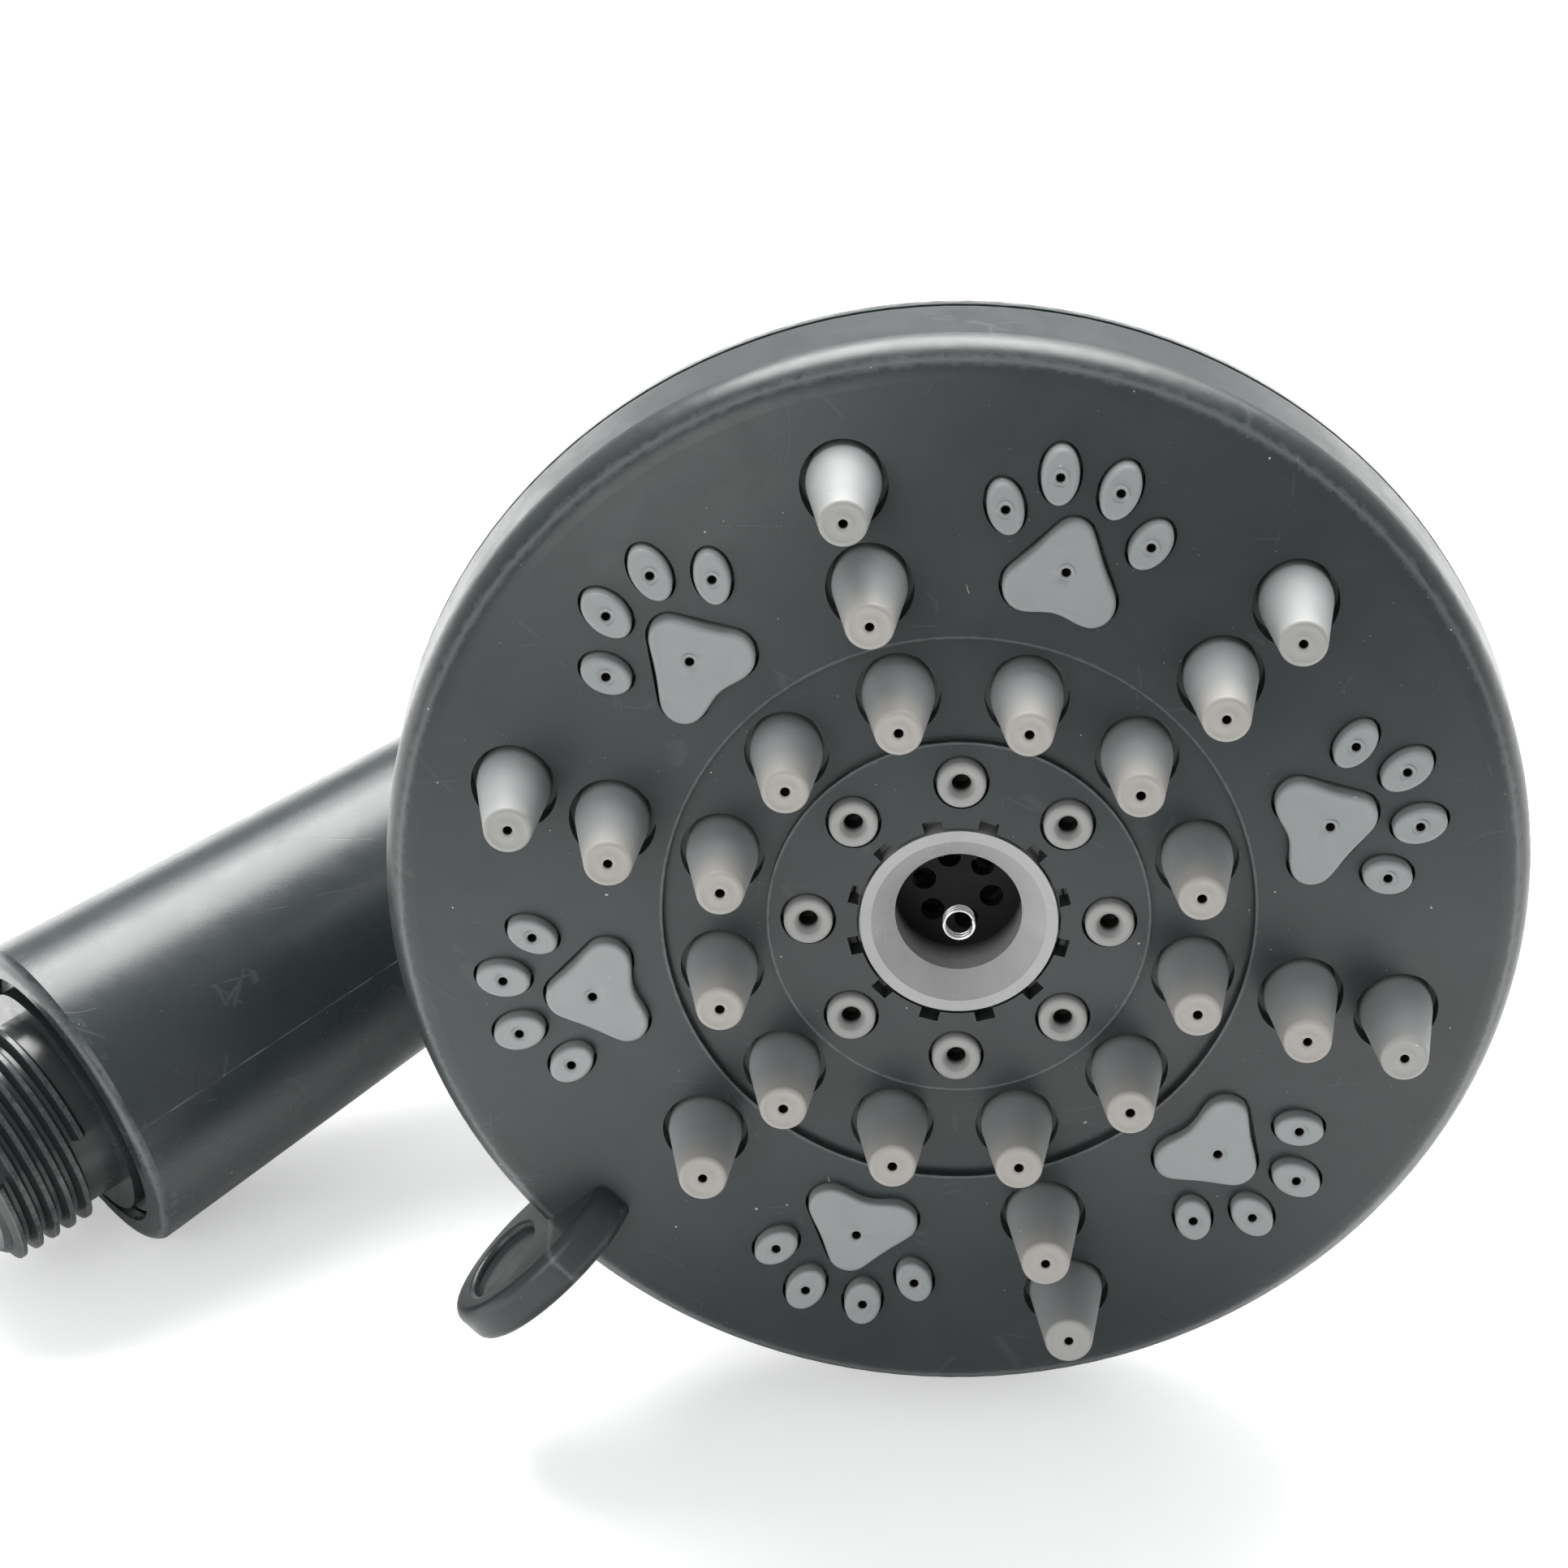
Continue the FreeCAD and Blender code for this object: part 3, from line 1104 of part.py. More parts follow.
def bend_point(start_depth, turn):
    """Point and direction on the bend after a turn in degrees."""
    radius = bend_radius(start_depth)
    angle = math.radians(turn)
    point = Vector(-radius * (1 - math.cos(angle)), 0, -size(start_depth) - radius * math.sin(angle))
    return point, Vector(-math.sin(angle), 0, -math.cos(angle))


def bend_solid(inset):
    """The neck's bend as a loft of circles that shrink from its root."""
    whole_turn = 90 + size("lean")
    neck = size("neck_radius")
    root = size("neck_root")
    wires = []
    steps = 8
    for index in range(steps + 1):
        part = index / steps
        point, direction = bend_point("neck_start", whole_turn * part)
        radius = neck + (root - neck) * max(0, 1 - part * steps / (steps - 2)) ** 3 - inset
        wires.append(Part.Wire(Part.makeCircle(radius, point, direction)))
    return Part.makeLoft(wires, True, False)


def grip_solid(inset):
    """The handle's straight, tapering stretch as a cone that ends at the handle's end."""
    start, direction = bend_point("neck_start", 90 + size("lean"))
    stop = Vector(-size("reach"), 0, -size("drop"))
    return Part.makeCone(size("neck_radius") - inset, size("grip_radius") - inset,
                         (stop - start).Length, start, direction)


def turned(points):
    """Solid of revolution round the Z axis from plain profile points."""
    wire = Part.makePolygon([Vector(x, 0, z) for x, z in points + points[:1]])
    return Part.Face(wire).revolve(Vector(0, 0, 0), Vector(0, 0, 1), 360)


def ball_radius(radius, sagitta):
    """Radius of the ball whose cap has a given rim radius and depth."""
    return (radius ** 2 + sagitta ** 2) / (2 * sagitta)


def back_dome(radius, depth, edge):
    """Solid under the head: a ball's cap of a given depth below the shell's rim."""
    ball = ball_radius(radius, depth + edge)
    cap = Part.makeSphere(ball, Vector(0, 0, ball - depth))
    slab = Part.makeCylinder(radius, depth + edge + 1, Vector(0, 0, -depth - 1))
    return cap.common(slab)


def inlet_matrix():
    """Placement of the inlet frame inside the head frame."""
    rotation = Rotation(Vector(0, 1, 0), size("lean - 90"))
    return Placement(Vector(-size(HEAD_X), 0, -size(HEAD_Z)), rotation)


def inlet_cylinder(radius, start, stop):
    """Cylinder along the inlet axis between two depths, in the head frame."""
    cylinder = Part.makeCylinder(radius, stop - start, Vector(0, 0, -stop))
    cylinder.Placement = inlet_matrix()
    return cylinder


def head_back(rim_top, rim_bottom):
    """Outer solid of the head's back: straight rim, lip inside the dial cap and back dome."""
    radius = size("face_radius")
    lip_top = rim_top + size("lip_rise")
    rim = turned([(0, rim_bottom), (radius, rim_bottom), (radius, rim_top),
                  (size(LIP_OUTER), rim_top), (size(LIP_OUTER), lip_top), (0, lip_top)])
    head = rim.fuse(back_dome(radius, size("back_depth"), rim_bottom)).removeSplitter()
    corner = [edge for edge in head.Edges
              if edge.BoundBox.ZLength < 0.01 and abs(edge.BoundBox.ZMax - rim_bottom) < 0.01]
    return head.makeFillet(size("back_round"), corner)


def neck_and_handle():
    """Outer solid of neck and handle, with the rounded rim at the handle's end."""
    grip = size("grip_radius")
    small = size("grip_round")
    end = size("thread_reach")
    corner = Part.makeCylinder(grip + small, 2 * small, Vector(0, 0, -end - small))
    corner = corner.cut(Part.makeCylinder(grip - small, 2 * small, Vector(0, 0, -end - small)))
    corner = corner.cut(Part.makeTorus(grip - small, small, Vector(0, 0, -end - small)))
    corner.Placement = inlet_matrix()
    return bend_solid(0).fuse(grip_solid(0).cut(corner))


def make_handle_shell():
    """Moulded shell: head's back, swan neck and tapering handle, hollow for the waterway."""
    rim_top = -size("cap_depth + seam")
    rim_bottom = rim_top - size("rim_height")
    wall = size("shell_wall")
    depth = size("back_depth")
    end_plane = size("thread_reach")
    sleeve_end = end_plane + size("socket_depth + sleeve_length")
    ball = ball_radius(size("face_radius"), depth + rim_bottom)
    outer = head_back(rim_top, rim_bottom).fuse(neck_and_handle())
    crown = Vector(0, 0, -depth)
    near = size("neck_root + neck_blend")
    joint = [edge for edge in outer.Edges
             if all((vertex.Point - crown).Length < near for vertex in edge.Vertexes)]
    outer = outer.makeFillet(size("neck_blend"), joint)
    cavity_radius = size(LIP_INNER)
    cavity = Part.makeCylinder(cavity_radius, depth, Vector(0, 0, rim_bottom))
    hollow = Part.makeSphere(ball - wall, Vector(0, 0, ball - depth))
    hollow = hollow.common(Part.makeCylinder(cavity_radius, depth, Vector(0, 0, -depth)))
    bore = bend_solid(wall).fuse(grip_solid(wall))
    bore = bore.cut(inlet_cylinder(size("grip_radius") + wall, end_plane - wall, sleeve_end))
    shell = outer.cut(cavity).cut(hollow).cut(bore)
    shell = shell.cut(inlet_cylinder(size(SOCKET_RIM), end_plane - wall,
                                     end_plane + size("socket_depth")))
    shell = shell.cut(inlet_cylinder(size("sleeve_radius"), end_plane, sleeve_end + wall))
    seat = size(SEAT_BOTTOM)
    limit = Part.makeSphere(ball - wall / 2, Vector(0, 0, ball - depth))
    boss = Part.makeCylinder(size("seat_boss"), seat + depth, Vector(0, 0, -depth))
    hole_depth = size("seat_screw_depth - seat_thick")
    hole = Part.makeCylinder(size("seat_screw"), hole_depth, Vector(0, 0, seat - hole_depth))
    for solid in seat_ring(boss).Solids:
        shell = shell.fuse(solid.common(limit))
    for solid in seat_ring(hole).Solids:
        shell = shell.cut(solid)
    place_head(plain_part("handle_shell", shell))


def make_water_tube():
    """Bent tube that carries the water from the inlet to the head."""
    whole_turn = 90 + size("lean")
    top = Vector(0, 0, size(COVER_BOTTOM + " - dial_gap"))
    start, _ = bend_point("tube_start", 0)
    middle, _ = bend_point("tube_start", whole_turn / 2)
    stop, direction = bend_point("tube_start", whole_turn)
    socket = size("thread_reach + socket_depth + tail_length - tail_socket + dial_gap")
    reach_back = Vector(-size("reach"), 0, -size("drop"))
    end = reach_back - direction * (socket - size("thread_reach"))
    path = Part.Wire([Part.LineSegment(top, start).toShape(), Part.Arc(start, middle, stop).toShape(),
                      Part.LineSegment(stop, end).toShape()])
    solids = []
    for radius in (size("tube_radius"), size("tube_bore")):
        circle = Part.Wire(Part.makeCircle(radius, top, Vector(0, 0, 1)))
        solids.append(path.makePipeShell([circle], True, False))
    place_head(plain_part("water_tube", solids[0].cut(solids[1])))


def make_inlet():
    """Hose inlet: half inch thread, collar, flange and tail with two O-ring grooves."""
    body = new_body("hose_inlet")
    flange_front = "-thread_reach - socket_depth + flange_thick"
    flange_back = "-thread_reach - socket_depth"
    tail_end = flange_back + " - tail_length"
    root = "thread_radius - thread_depth"
    revolve(body, "core", [
        ("thread_bore", "0"),
        (root + " - thread_depth / 2", "0"),
        (root, "-thread_depth / 2"),
        (root, flange_front + " + collar_length"),
        ("collar_radius", flange_front + " + collar_length"),
        ("collar_radius", flange_front),
        (FLANGE_RIM, flange_front),
        (FLANGE_RIM, flange_back),
        (TAIL_RIM, flange_back),
        (TAIL_RIM, tail_end),
        ("tube_radius", tail_end),
        ("tube_radius", tail_end + " + tail_socket"),
        ("tube_bore", tail_end + " + tail_socket"),
        ("tube_bore", "-thread_reach"),
        ("thread_bore", "-thread_reach + collar_length"),
    ])
    for index in range(int(size("o_ring_count"))):
        sketch = new_sketch(body, f"groove_circle_{index + 1}", "XZ_Plane")
        draw_circle(sketch, "o_ring_wire", "sleeve_radius - o_ring_wire",
                    o_ring_height(index))
        groove = body.newObject("PartDesign::Groove", f"o_ring_groove_{index + 1}")
        groove.Profile = sketch
        groove.ReferenceAxis = (sketch, ["V_Axis"])
        groove.Angle = 360
        doc.recompute()
    sketch = new_sketch(body, "thread_tooth", "XZ_Plane")
    start = "-thread_length"
    foot = root + " - thread_sink"
    draw_profile(sketch, [
        (foot, start + " - thread_foot / 2"),
        ("thread_radius", start + " - thread_crest / 2"),
        ("thread_radius", start + " + thread_crest / 2"),
        (foot, start + " + thread_foot / 2"),
    ])
    thread = body.newObject("PartDesign::AdditiveHelix", "thread")
    thread.Profile = sketch
    thread.ReferenceAxis = (sketch, ["V_Axis"])
    thread.Mode = 0
    bind(thread, "Pitch", "thread_pitch")
    bind(thread, "Height", "thread_pitch * thread_turns")
    thread.Angle = 0
    thread.LeftHanded = False
    thread.Reversed = False
    body.Tip = thread
    doc.recompute()
    place_inlet(body)


def o_ring_height(index):
    """Depth of an O-ring on the inlet's tail."""
    return f"-thread_reach - socket_depth - o_ring_wire * 2 - {index} * o_ring_step"


def make_o_rings():
    """Two O-rings on the inlet's tail."""
    rings = []
    for index in range(int(size("o_ring_count"))):
        centre = Vector(0, 0, size(o_ring_height(index)))
        rings.append(Part.makeTorus(size("sleeve_radius - o_ring_wire"), size("o_ring_wire"), centre))
    place_inlet(plain_part("inlet_o_rings", Part.makeCompound(rings)))


def make_filter_screen():
    """Drilled steel screen in the mouth of the inlet."""
    body = new_body("filter_screen")
    top = "-screen_depth"
    revolve(body, "disc", [
        ("0", top + " - screen_thick"),
        ("thread_bore", top + " - screen_thick"),
        ("thread_bore", top),
        ("0", top),
    ])
    drill(body, "middle_hole", "screen_hole", top, "screen_thick * 2")
    for ring in (1, 2):
        hole = drill(body, f"hole_{ring}", "screen_hole", top, "screen_thick * 2",
                     (f"{ring} * screen_ring_step", "0"))
        around(body, f"holes_{ring}", [hole], f"{ring} * screen_ring_count")
    place_inlet(body)


def make_flow_limiter():
    """Plastic flow limiter below the screen."""
    body = new_body("flow_limiter")
    top = "-screen_depth - screen_thick"
    revolve(body, "disc", [
        ("limiter_bore", top + " - limiter_thick"),
        ("thread_bore", top + " - limiter_thick"),
        ("thread_bore", top),
        ("limiter_radius", top),
        ("limiter_bore", top + " - limiter_thick / 2"),
    ])
    place_inlet(body)


def check_and_write():
    """Stop on any failed object or bad shape, then write one file for each sub-part."""
    doc.recompute()
    for item in doc.Objects:
        if "Invalid" in item.State or "Error" in item.State:
            raise RuntimeError(f"{item.Label}: {item.State}")
    for sub_part in SUB_PARTS:
        shape = sub_part.Shape
        if shape.isNull() or not shape.isValid() or not shape.Solids:
            raise RuntimeError(f"{sub_part.Label}: bad shape")
        shape.exportStep(f"parts/{sub_part.Label}.step")
        print(f"{sub_part.Label}: {len(shape.Solids)} solid(s), {shape.Volume:.1f} mm3")


def main():
    """Build every sub-part and write the files."""
    os.makedirs("parts", exist_ok=True)
    make_dial_cap()
    make_outer_mat()
    make_middle_mat()
    make_inner_mat()
    make_centre_ring()
    make_jet_core()
    make_channel_plate()
    make_chamber_gasket()
    make_valve_plate()
    make_dial_screws()
    make_port_plate()
    make_seat_screws()
    make_pivot_washer()
    make_pivot_screw()
    make_port_seal()
    make_detent_pin()
    make_detent_spring()
    make_inlet_cover()
    make_cover_gasket()
    make_handle_shell()
    make_water_tube()
    make_inlet()
    make_o_rings()
    make_filter_screen()
    make_flow_limiter()
    check_and_write()


main()
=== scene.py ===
"""Looks of the handheld bath sprayer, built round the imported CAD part.

The CAD nodes keep their shapes. The three soft nozzle mats are made again here with rounded tips,
raised outlets and crowned paws, and every surface gets its own finish. All lengths are in metres,
in the part's own frame: +Z is the spray, the handle lies in the XZ plane towards -X, and the
origin is the centre of the hose thread's free end.
"""

import json
import logging
import math
from dataclasses import dataclass, field
from enum import Enum
from typing import Any, Callable, Iterable, Optional, Sequence, Union

import bmesh
import bpy
from mathutils import Matrix, Vector

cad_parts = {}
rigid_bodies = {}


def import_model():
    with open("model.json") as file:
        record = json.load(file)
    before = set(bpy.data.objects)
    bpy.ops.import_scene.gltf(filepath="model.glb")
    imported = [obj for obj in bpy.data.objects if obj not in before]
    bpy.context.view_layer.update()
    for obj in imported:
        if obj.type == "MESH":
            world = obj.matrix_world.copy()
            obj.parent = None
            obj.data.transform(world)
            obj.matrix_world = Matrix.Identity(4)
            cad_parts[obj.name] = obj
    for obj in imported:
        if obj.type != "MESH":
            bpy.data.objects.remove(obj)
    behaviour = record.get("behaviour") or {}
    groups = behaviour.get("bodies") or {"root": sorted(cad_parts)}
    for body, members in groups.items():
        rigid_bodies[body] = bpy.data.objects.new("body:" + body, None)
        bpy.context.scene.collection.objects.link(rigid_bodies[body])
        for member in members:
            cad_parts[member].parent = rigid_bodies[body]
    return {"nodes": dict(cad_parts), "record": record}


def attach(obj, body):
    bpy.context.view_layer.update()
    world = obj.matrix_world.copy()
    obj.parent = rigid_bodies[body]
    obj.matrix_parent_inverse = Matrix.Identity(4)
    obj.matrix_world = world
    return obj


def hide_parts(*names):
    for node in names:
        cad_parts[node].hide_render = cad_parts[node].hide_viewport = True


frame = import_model()

MM = 0.001
LOG = logging.getLogger("sprayer")
Feed = Union[float, tuple, bpy.types.NodeSocket]


class SoftMat(Enum):
    """The CAD nodes that are made again here as soft pieces, from the centre outwards."""

    INNER = "inner_nozzle_mat"
    MIDDLE = "middle_nozzle_mat"
    OUTER = "outer_nozzle_mat"


# ---------------------------------------------------------------------------------------------
# Node wiring
# ---------------------------------------------------------------------------------------------


class Wiring:
    """Adds nodes to one tree and joins them, so that a finish reads as a list of steps."""

    def __init__(self, tree: bpy.types.NodeTree) -> None:
        """Keeps the tree that nodes are added to."""
        self.tree = tree

    def node(self, kind: str, **settings: Any) -> bpy.types.Node:
        """Adds a node.

        Args:
            kind: the node's type name.
            settings: properties to set on it.

        Returns:
            The new node.
        """
        made = self.tree.nodes.new(kind)
        for name, value in settings.items():
            setattr(made, name, value)
        return made

    def feed(self, socket: bpy.types.NodeSocket, value: Feed) -> None:
        """Joins another node's output to a socket, or sets the socket's own number."""
        if isinstance(value, bpy.types.NodeSocket):
            self.tree.links.new(value, socket)
        else:
            socket.default_value = value

    def maths(self, operation: str, first: Feed, second: Feed = 0.0, third: Feed = 0.0,
              clamp: bool = False) -> bpy.types.NodeSocket:
        """Adds a Math node.

        Args:
            operation: the Math node's operation.
            first: its first value.
            second: its second value.
            third: its third value, where it has one.
            clamp: whether the result is held between 0 and 1.

        Returns:
            Its result.
        """
        made = self.node("ShaderNodeMath", operation=operation, use_clamp=clamp)
        for socket, value in zip(made.inputs, (first, second, third)):
            self.feed(socket, value)
        return made.outputs[0]

    def vectors(self, operation: str, first: Feed, second: Feed = (0.0, 0.0, 0.0),
                output: str = "Vector") -> bpy.types.NodeSocket:
        """Adds a Vector Math node.

        Args:
            operation: the node's operation.
            first: its first vector.
            second: its second vector.
            output: the output wanted, Vector or Value.

        Returns:
            That output.
        """
        made = self.node("ShaderNodeVectorMath", operation=operation)
        self.feed(made.inputs[0], first)
        self.feed(made.inputs[1], second)
        return made.outputs[output]

    def stretched(self, vector: Feed, factors: Feed) -> bpy.types.NodeSocket:
        """Multiplies a position by three factors, one for each axis."""
        return self.vectors("MULTIPLY", vector, factors)

    def noise(self, vector: Feed, scale: Feed, detail: float = 3.0, rough: float = 0.5,
              twist: float = 0.0) -> bpy.types.NodeSocket:
        """Adds a Noise Texture.

        Args:
            vector: the position that it reads.
            scale: its scale, one over the feature size in metres.
            detail: its octaves.
            rough: how strong the fine octaves are.
            twist: its distortion.

        Returns:
            Its value, about 0.3 to 0.7.
        """
        made = self.node("ShaderNodeTexNoise")
        self.feed(made.inputs["Vector"], vector)
        self.feed(made.inputs["Scale"], scale)
        made.inputs["Detail"].default_value = detail
        made.inputs["Roughness"].default_value = rough
        made.inputs["Distortion"].default_value = twist
        return made.outputs[0]

    def cells(self, vector: Feed, scale: Feed, feature: str = "F1") -> bpy.types.Node:
        """Adds a Voronoi Texture and returns the node."""
        made = self.node("ShaderNodeTexVoronoi", feature=feature)
        self.feed(made.inputs["Vector"], vector)
        self.feed(made.inputs["Scale"], scale)
        return made

    def between(self, value: Feed, low: Feed, high: Feed, to_low: float = 0.0,
                to_high: float = 1.0, smooth: bool = True) -> bpy.types.NodeSocket:
        """Adds a Map Range.

        Args:
            value: the value to map.
            low: the value that gives to_low.
            high: the value that gives to_high.
            to_low: result at low.
            to_high: result at high.
            smooth: whether the change eases in and out.

        Returns:
            The mapped value.
        """
        made = self.node("ShaderNodeMapRange",
                         interpolation_type="SMOOTHSTEP" if smooth else "LINEAR")
        for name, number in (("Value", value), ("From Min", low), ("From Max", high),
                             ("To Min", to_low), ("To Max", to_high)):
            self.feed(made.inputs[name], number)
        return made.outputs[0]

    def blend(self, share: Feed, first: Feed, second: Feed,
              how: str = "MIX") -> bpy.types.NodeSocket:
        """Mixes two colours.

        Args:
            share: how much of the second.
            first: the colour at 0.
            second: the colour at 1.
            how: the Mix node's blend type.

        Returns:
            The mixed colour.
        """
        made = self.node("ShaderNodeMix", data_type="RGBA", blend_type=how, clamp_factor=True)
        self.feed(made.inputs[0], share)
        self.feed(made.inputs[6], first)
        self.feed(made.inputs[7], second)
        return made.outputs[2]

    def group(self, tree: bpy.types.NodeTree, **values: Feed) -> bpy.types.Node:
        """Places a node group.

        Args:
            tree: the group's tree.
            values: its inputs, with _ for a space in their names.

        Returns:
            The group node.
        """
        kind = "GeometryNodeGroup" if tree.bl_idname == "GeometryNodeTree" else "ShaderNodeGroup"
        made = self.node(kind)
        made.node_tree = tree
        for name, value in values.items():
            self.feed(made.inputs[name.replace("_", " ")], value)
        return made


def open_group(name: str, kind: str, inputs: Sequence[tuple], outputs: Sequence[tuple]
               ) -> tuple[Wiring, bpy.types.Node, bpy.types.Node]:
    """Makes an empty node group with its sockets.

    Args:
        name: the group's name.
        kind: ShaderNodeTree or GeometryNodeTree.
        inputs: (name, socket type, default or None) for each input.
        outputs: (name, socket type) for each output.

    Returns:
        Its wiring, its input node and its output node.
    """
    tree = bpy.data.node_groups.new(name, kind)
    for label, socket, default in inputs:
        made = tree.interface.new_socket(name=label, in_out="INPUT", socket_type=socket)
        if default is not None:
            made.default_value = default
    for label, socket in outputs:
        tree.interface.new_socket(name=label, in_out="OUTPUT", socket_type=socket)
    wires = Wiring(tree)
    return wires, wires.node("NodeGroupInput"), wires.node("NodeGroupOutput")


# ---------------------------------------------------------------------------------------------
# Surface effects that several finishes share
# ---------------------------------------------------------------------------------------------


class SurfaceEffects:
    """The shader groups for moulded grain, dust and lint, hairlines and painted edge highlights.
    """

    def __init__(self) -> None:
        """Builds each group once."""
        self.grain = self._moulded_grain()
        self.dust = self._dust_and_lint()
        self.hairlines = self._hairlines()
        self.highlight_band = self._painted_edge_highlight()

    @staticmethod
    def _moulded_grain() -> bpy.types.NodeTree:
        """A moulded surface: fine grain for its bump, slow flow marks for tone and gloss."""
        wires, given, made = open_group("moulded_grain", "ShaderNodeTree", [
            ("Vector", "NodeSocketVector", None),
            ("Grain Size", "NodeSocketFloat", 0.2 * MM),
            ("Flow Size", "NodeSocketFloat", 12 * MM),
        ], [("Height", "NodeSocketFloat"), ("Tone", "NodeSocketFloat"),
            ("Gloss", "NodeSocketFloat")])
        place = given.outputs["Vector"]
        fine = wires.maths("DIVIDE", 1.0, given.outputs["Grain Size"])
        slow = wires.maths("DIVIDE", 1.0, given.outputs["Flow Size"])
        grain = wires.noise(place, fine, 2.0, 0.6)
        orange_peel = wires.noise(place, wires.maths("MULTIPLY", fine, 0.12), 2.0, 0.5)
        wires.feed(made.inputs["Height"], wires.maths("MULTIPLY_ADD", orange_peel, 0.8, grain))
        flow = wires.noise(place, slow, 4.0, 0.55, 0.8)
        wires.feed(made.inputs["Tone"], wires.between(flow, 0.32, 0.68))
        patches = wires.noise(place, wires.maths("MULTIPLY", slow, 2.6), 5.0, 0.65)
        wires.feed(made.inputs["Gloss"], wires.between(patches, 0.3, 0.7))
        return wires.tree

    @staticmethod
    def _dust_and_lint() -> bpy.types.NodeTree:
        """Scattered pale specks and short fibres that lie on a surface."""
        wires, given, made = open_group("dust_and_lint", "ShaderNodeTree", [
            ("Vector", "NodeSocketVector", None),
            ("Spacing", "NodeSocketFloat", 3 * MM),
            ("Share", "NodeSocketFloat", 0.4),
            ("Lint", "NodeSocketFloat", 0.5),
        ], [("Mask", "NodeSocketFloat")])
        place = given.outputs["Vector"]
        scale = wires.maths("DIVIDE", 1.0, given.outputs["Spacing"])
        warp = wires.node("ShaderNodeTexNoise")
        wires.feed(warp.inputs["Vector"], place)
        wires.feed(warp.inputs["Scale"], wires.maths("MULTIPLY", scale, 5.0))
        off = wires.vectors("SCALE", wires.vectors("SUBTRACT", warp.outputs["Color"],
                                                    (0.5, 0.5, 0.5)))
        off.node.inputs["Scale"].default_value = 0.35 * MM
        place = wires.vectors("ADD", place, off)
        specks = wires.cells(place, scale)
        pick = wires.node("ShaderNodeSeparateColor")
        wires.feed(pick.inputs[0], specks.outputs["Color"])
        size = wires.between(pick.outputs[1], 0.0, 1.0, 0.012, 0.055, smooth=False)
        kept = wires.maths("LESS_THAN", pick.outputs[0], given.outputs["Share"])
        dot = wires.maths("LESS_THAN", specks.outputs["Distance"], size)
        fine = wires.cells(place, wires.maths("MULTIPLY", scale, 2.9))
        fine_dot = wires.maths("LESS_THAN", fine.outputs["Distance"], 0.05)
        fine_pick = wires.node("ShaderNodeSeparateColor")
        wires.feed(fine_pick.inputs[0], fine.outputs["Color"])
        fine_kept = wires.maths("LESS_THAN", fine_pick.outputs[2],
                                wires.maths("MULTIPLY", given.outputs["Share"], 0.45))
        dots = wires.maths("MAXIMUM", wires.maths("MULTIPLY", dot, kept),
                           wires.maths("MULTIPLY", wires.maths("MULTIPLY", fine_dot, fine_kept),
                                       0.6))
        marks = dots
        for factors, threshold in (((1.0, 0.09, 0.3), 0.06), ((0.1, 1.0, 0.3), 0.05)):
            drawn = wires.cells(wires.stretched(place, factors),
                                wires.maths("MULTIPLY", scale, 1.6))
            chosen = wires.node("ShaderNodeSeparateColor")
            wires.feed(chosen.inputs[0], drawn.outputs["Color"])
            thin = wires.maths("LESS_THAN", drawn.outputs["Distance"], threshold * 0.55)
            rare = wires.maths("LESS_THAN", chosen.outputs[0],
                               wires.maths("MULTIPLY", given.outputs["Lint"], 0.12))
            marks = wires.maths("MAXIMUM", marks, wires.maths("MULTIPLY", thin, rare))
        wires.feed(made.inputs["Mask"], marks)
        return wires.tree

    @staticmethod
    def _hairlines() -> bpy.types.NodeTree:
        """Fine handling scratches, each a short bent line."""
        wires, given, made = open_group("hairlines", "ShaderNodeTree", [
            ("Vector", "NodeSocketVector", None),
            ("Spacing", "NodeSocketFloat", 6 * MM),
            ("Share", "NodeSocketFloat", 0.3),
        ], [("Mask", "NodeSocketFloat")])
        scale = wires.maths("DIVIDE", 1.0, given.outputs["Spacing"])
        bent = wires.node("ShaderNodeTexNoise")
        wires.feed(bent.inputs["Vector"], given.outputs["Vector"])
        bent.inputs["Scale"].default_value = 60.0
        off = wires.vectors("SCALE", bent.outputs["Color"])
        off.node.inputs["Scale"].default_value = 6 * MM
        place = wires.vectors("ADD", given.outputs["Vector"], off)
        result: Optional[bpy.types.NodeSocket] = None
        for turn, factors in (((0.0, 0.3, 0.5), (1.0, 0.05, 0.5)),
                              ((0.4, 0.0, 1.9), (1.0, 0.035, 0.6)),
                              ((0.2, 0.9, 2.8), (1.0, 0.06, 0.4))):
            spun = wires.node("ShaderNodeVectorRotate", rotation_type="EULER_XYZ")
            wires.feed(spun.inputs["Vector"], place)
            spun.inputs["Rotation"].default_value = turn
            drawn = wires.cells(wires.stretched(spun.outputs[0], factors), scale,
                                "DISTANCE_TO_EDGE")
            thin = wires.between(drawn.outputs["Distance"], 0.0, 0.011, 1.0, 0.0)
            broken = wires.maths("LESS_THAN", wires.noise(place, 130.0, 2.0),
                                 wires.maths("MULTIPLY_ADD", given.outputs["Share"], 0.3, 0.33))
            line = wires.maths("MULTIPLY", thin, broken)
            result = line if result is None else wires.maths("MAXIMUM", result, line)
        wires.feed(made.inputs["Mask"], result)
        return wires.tree

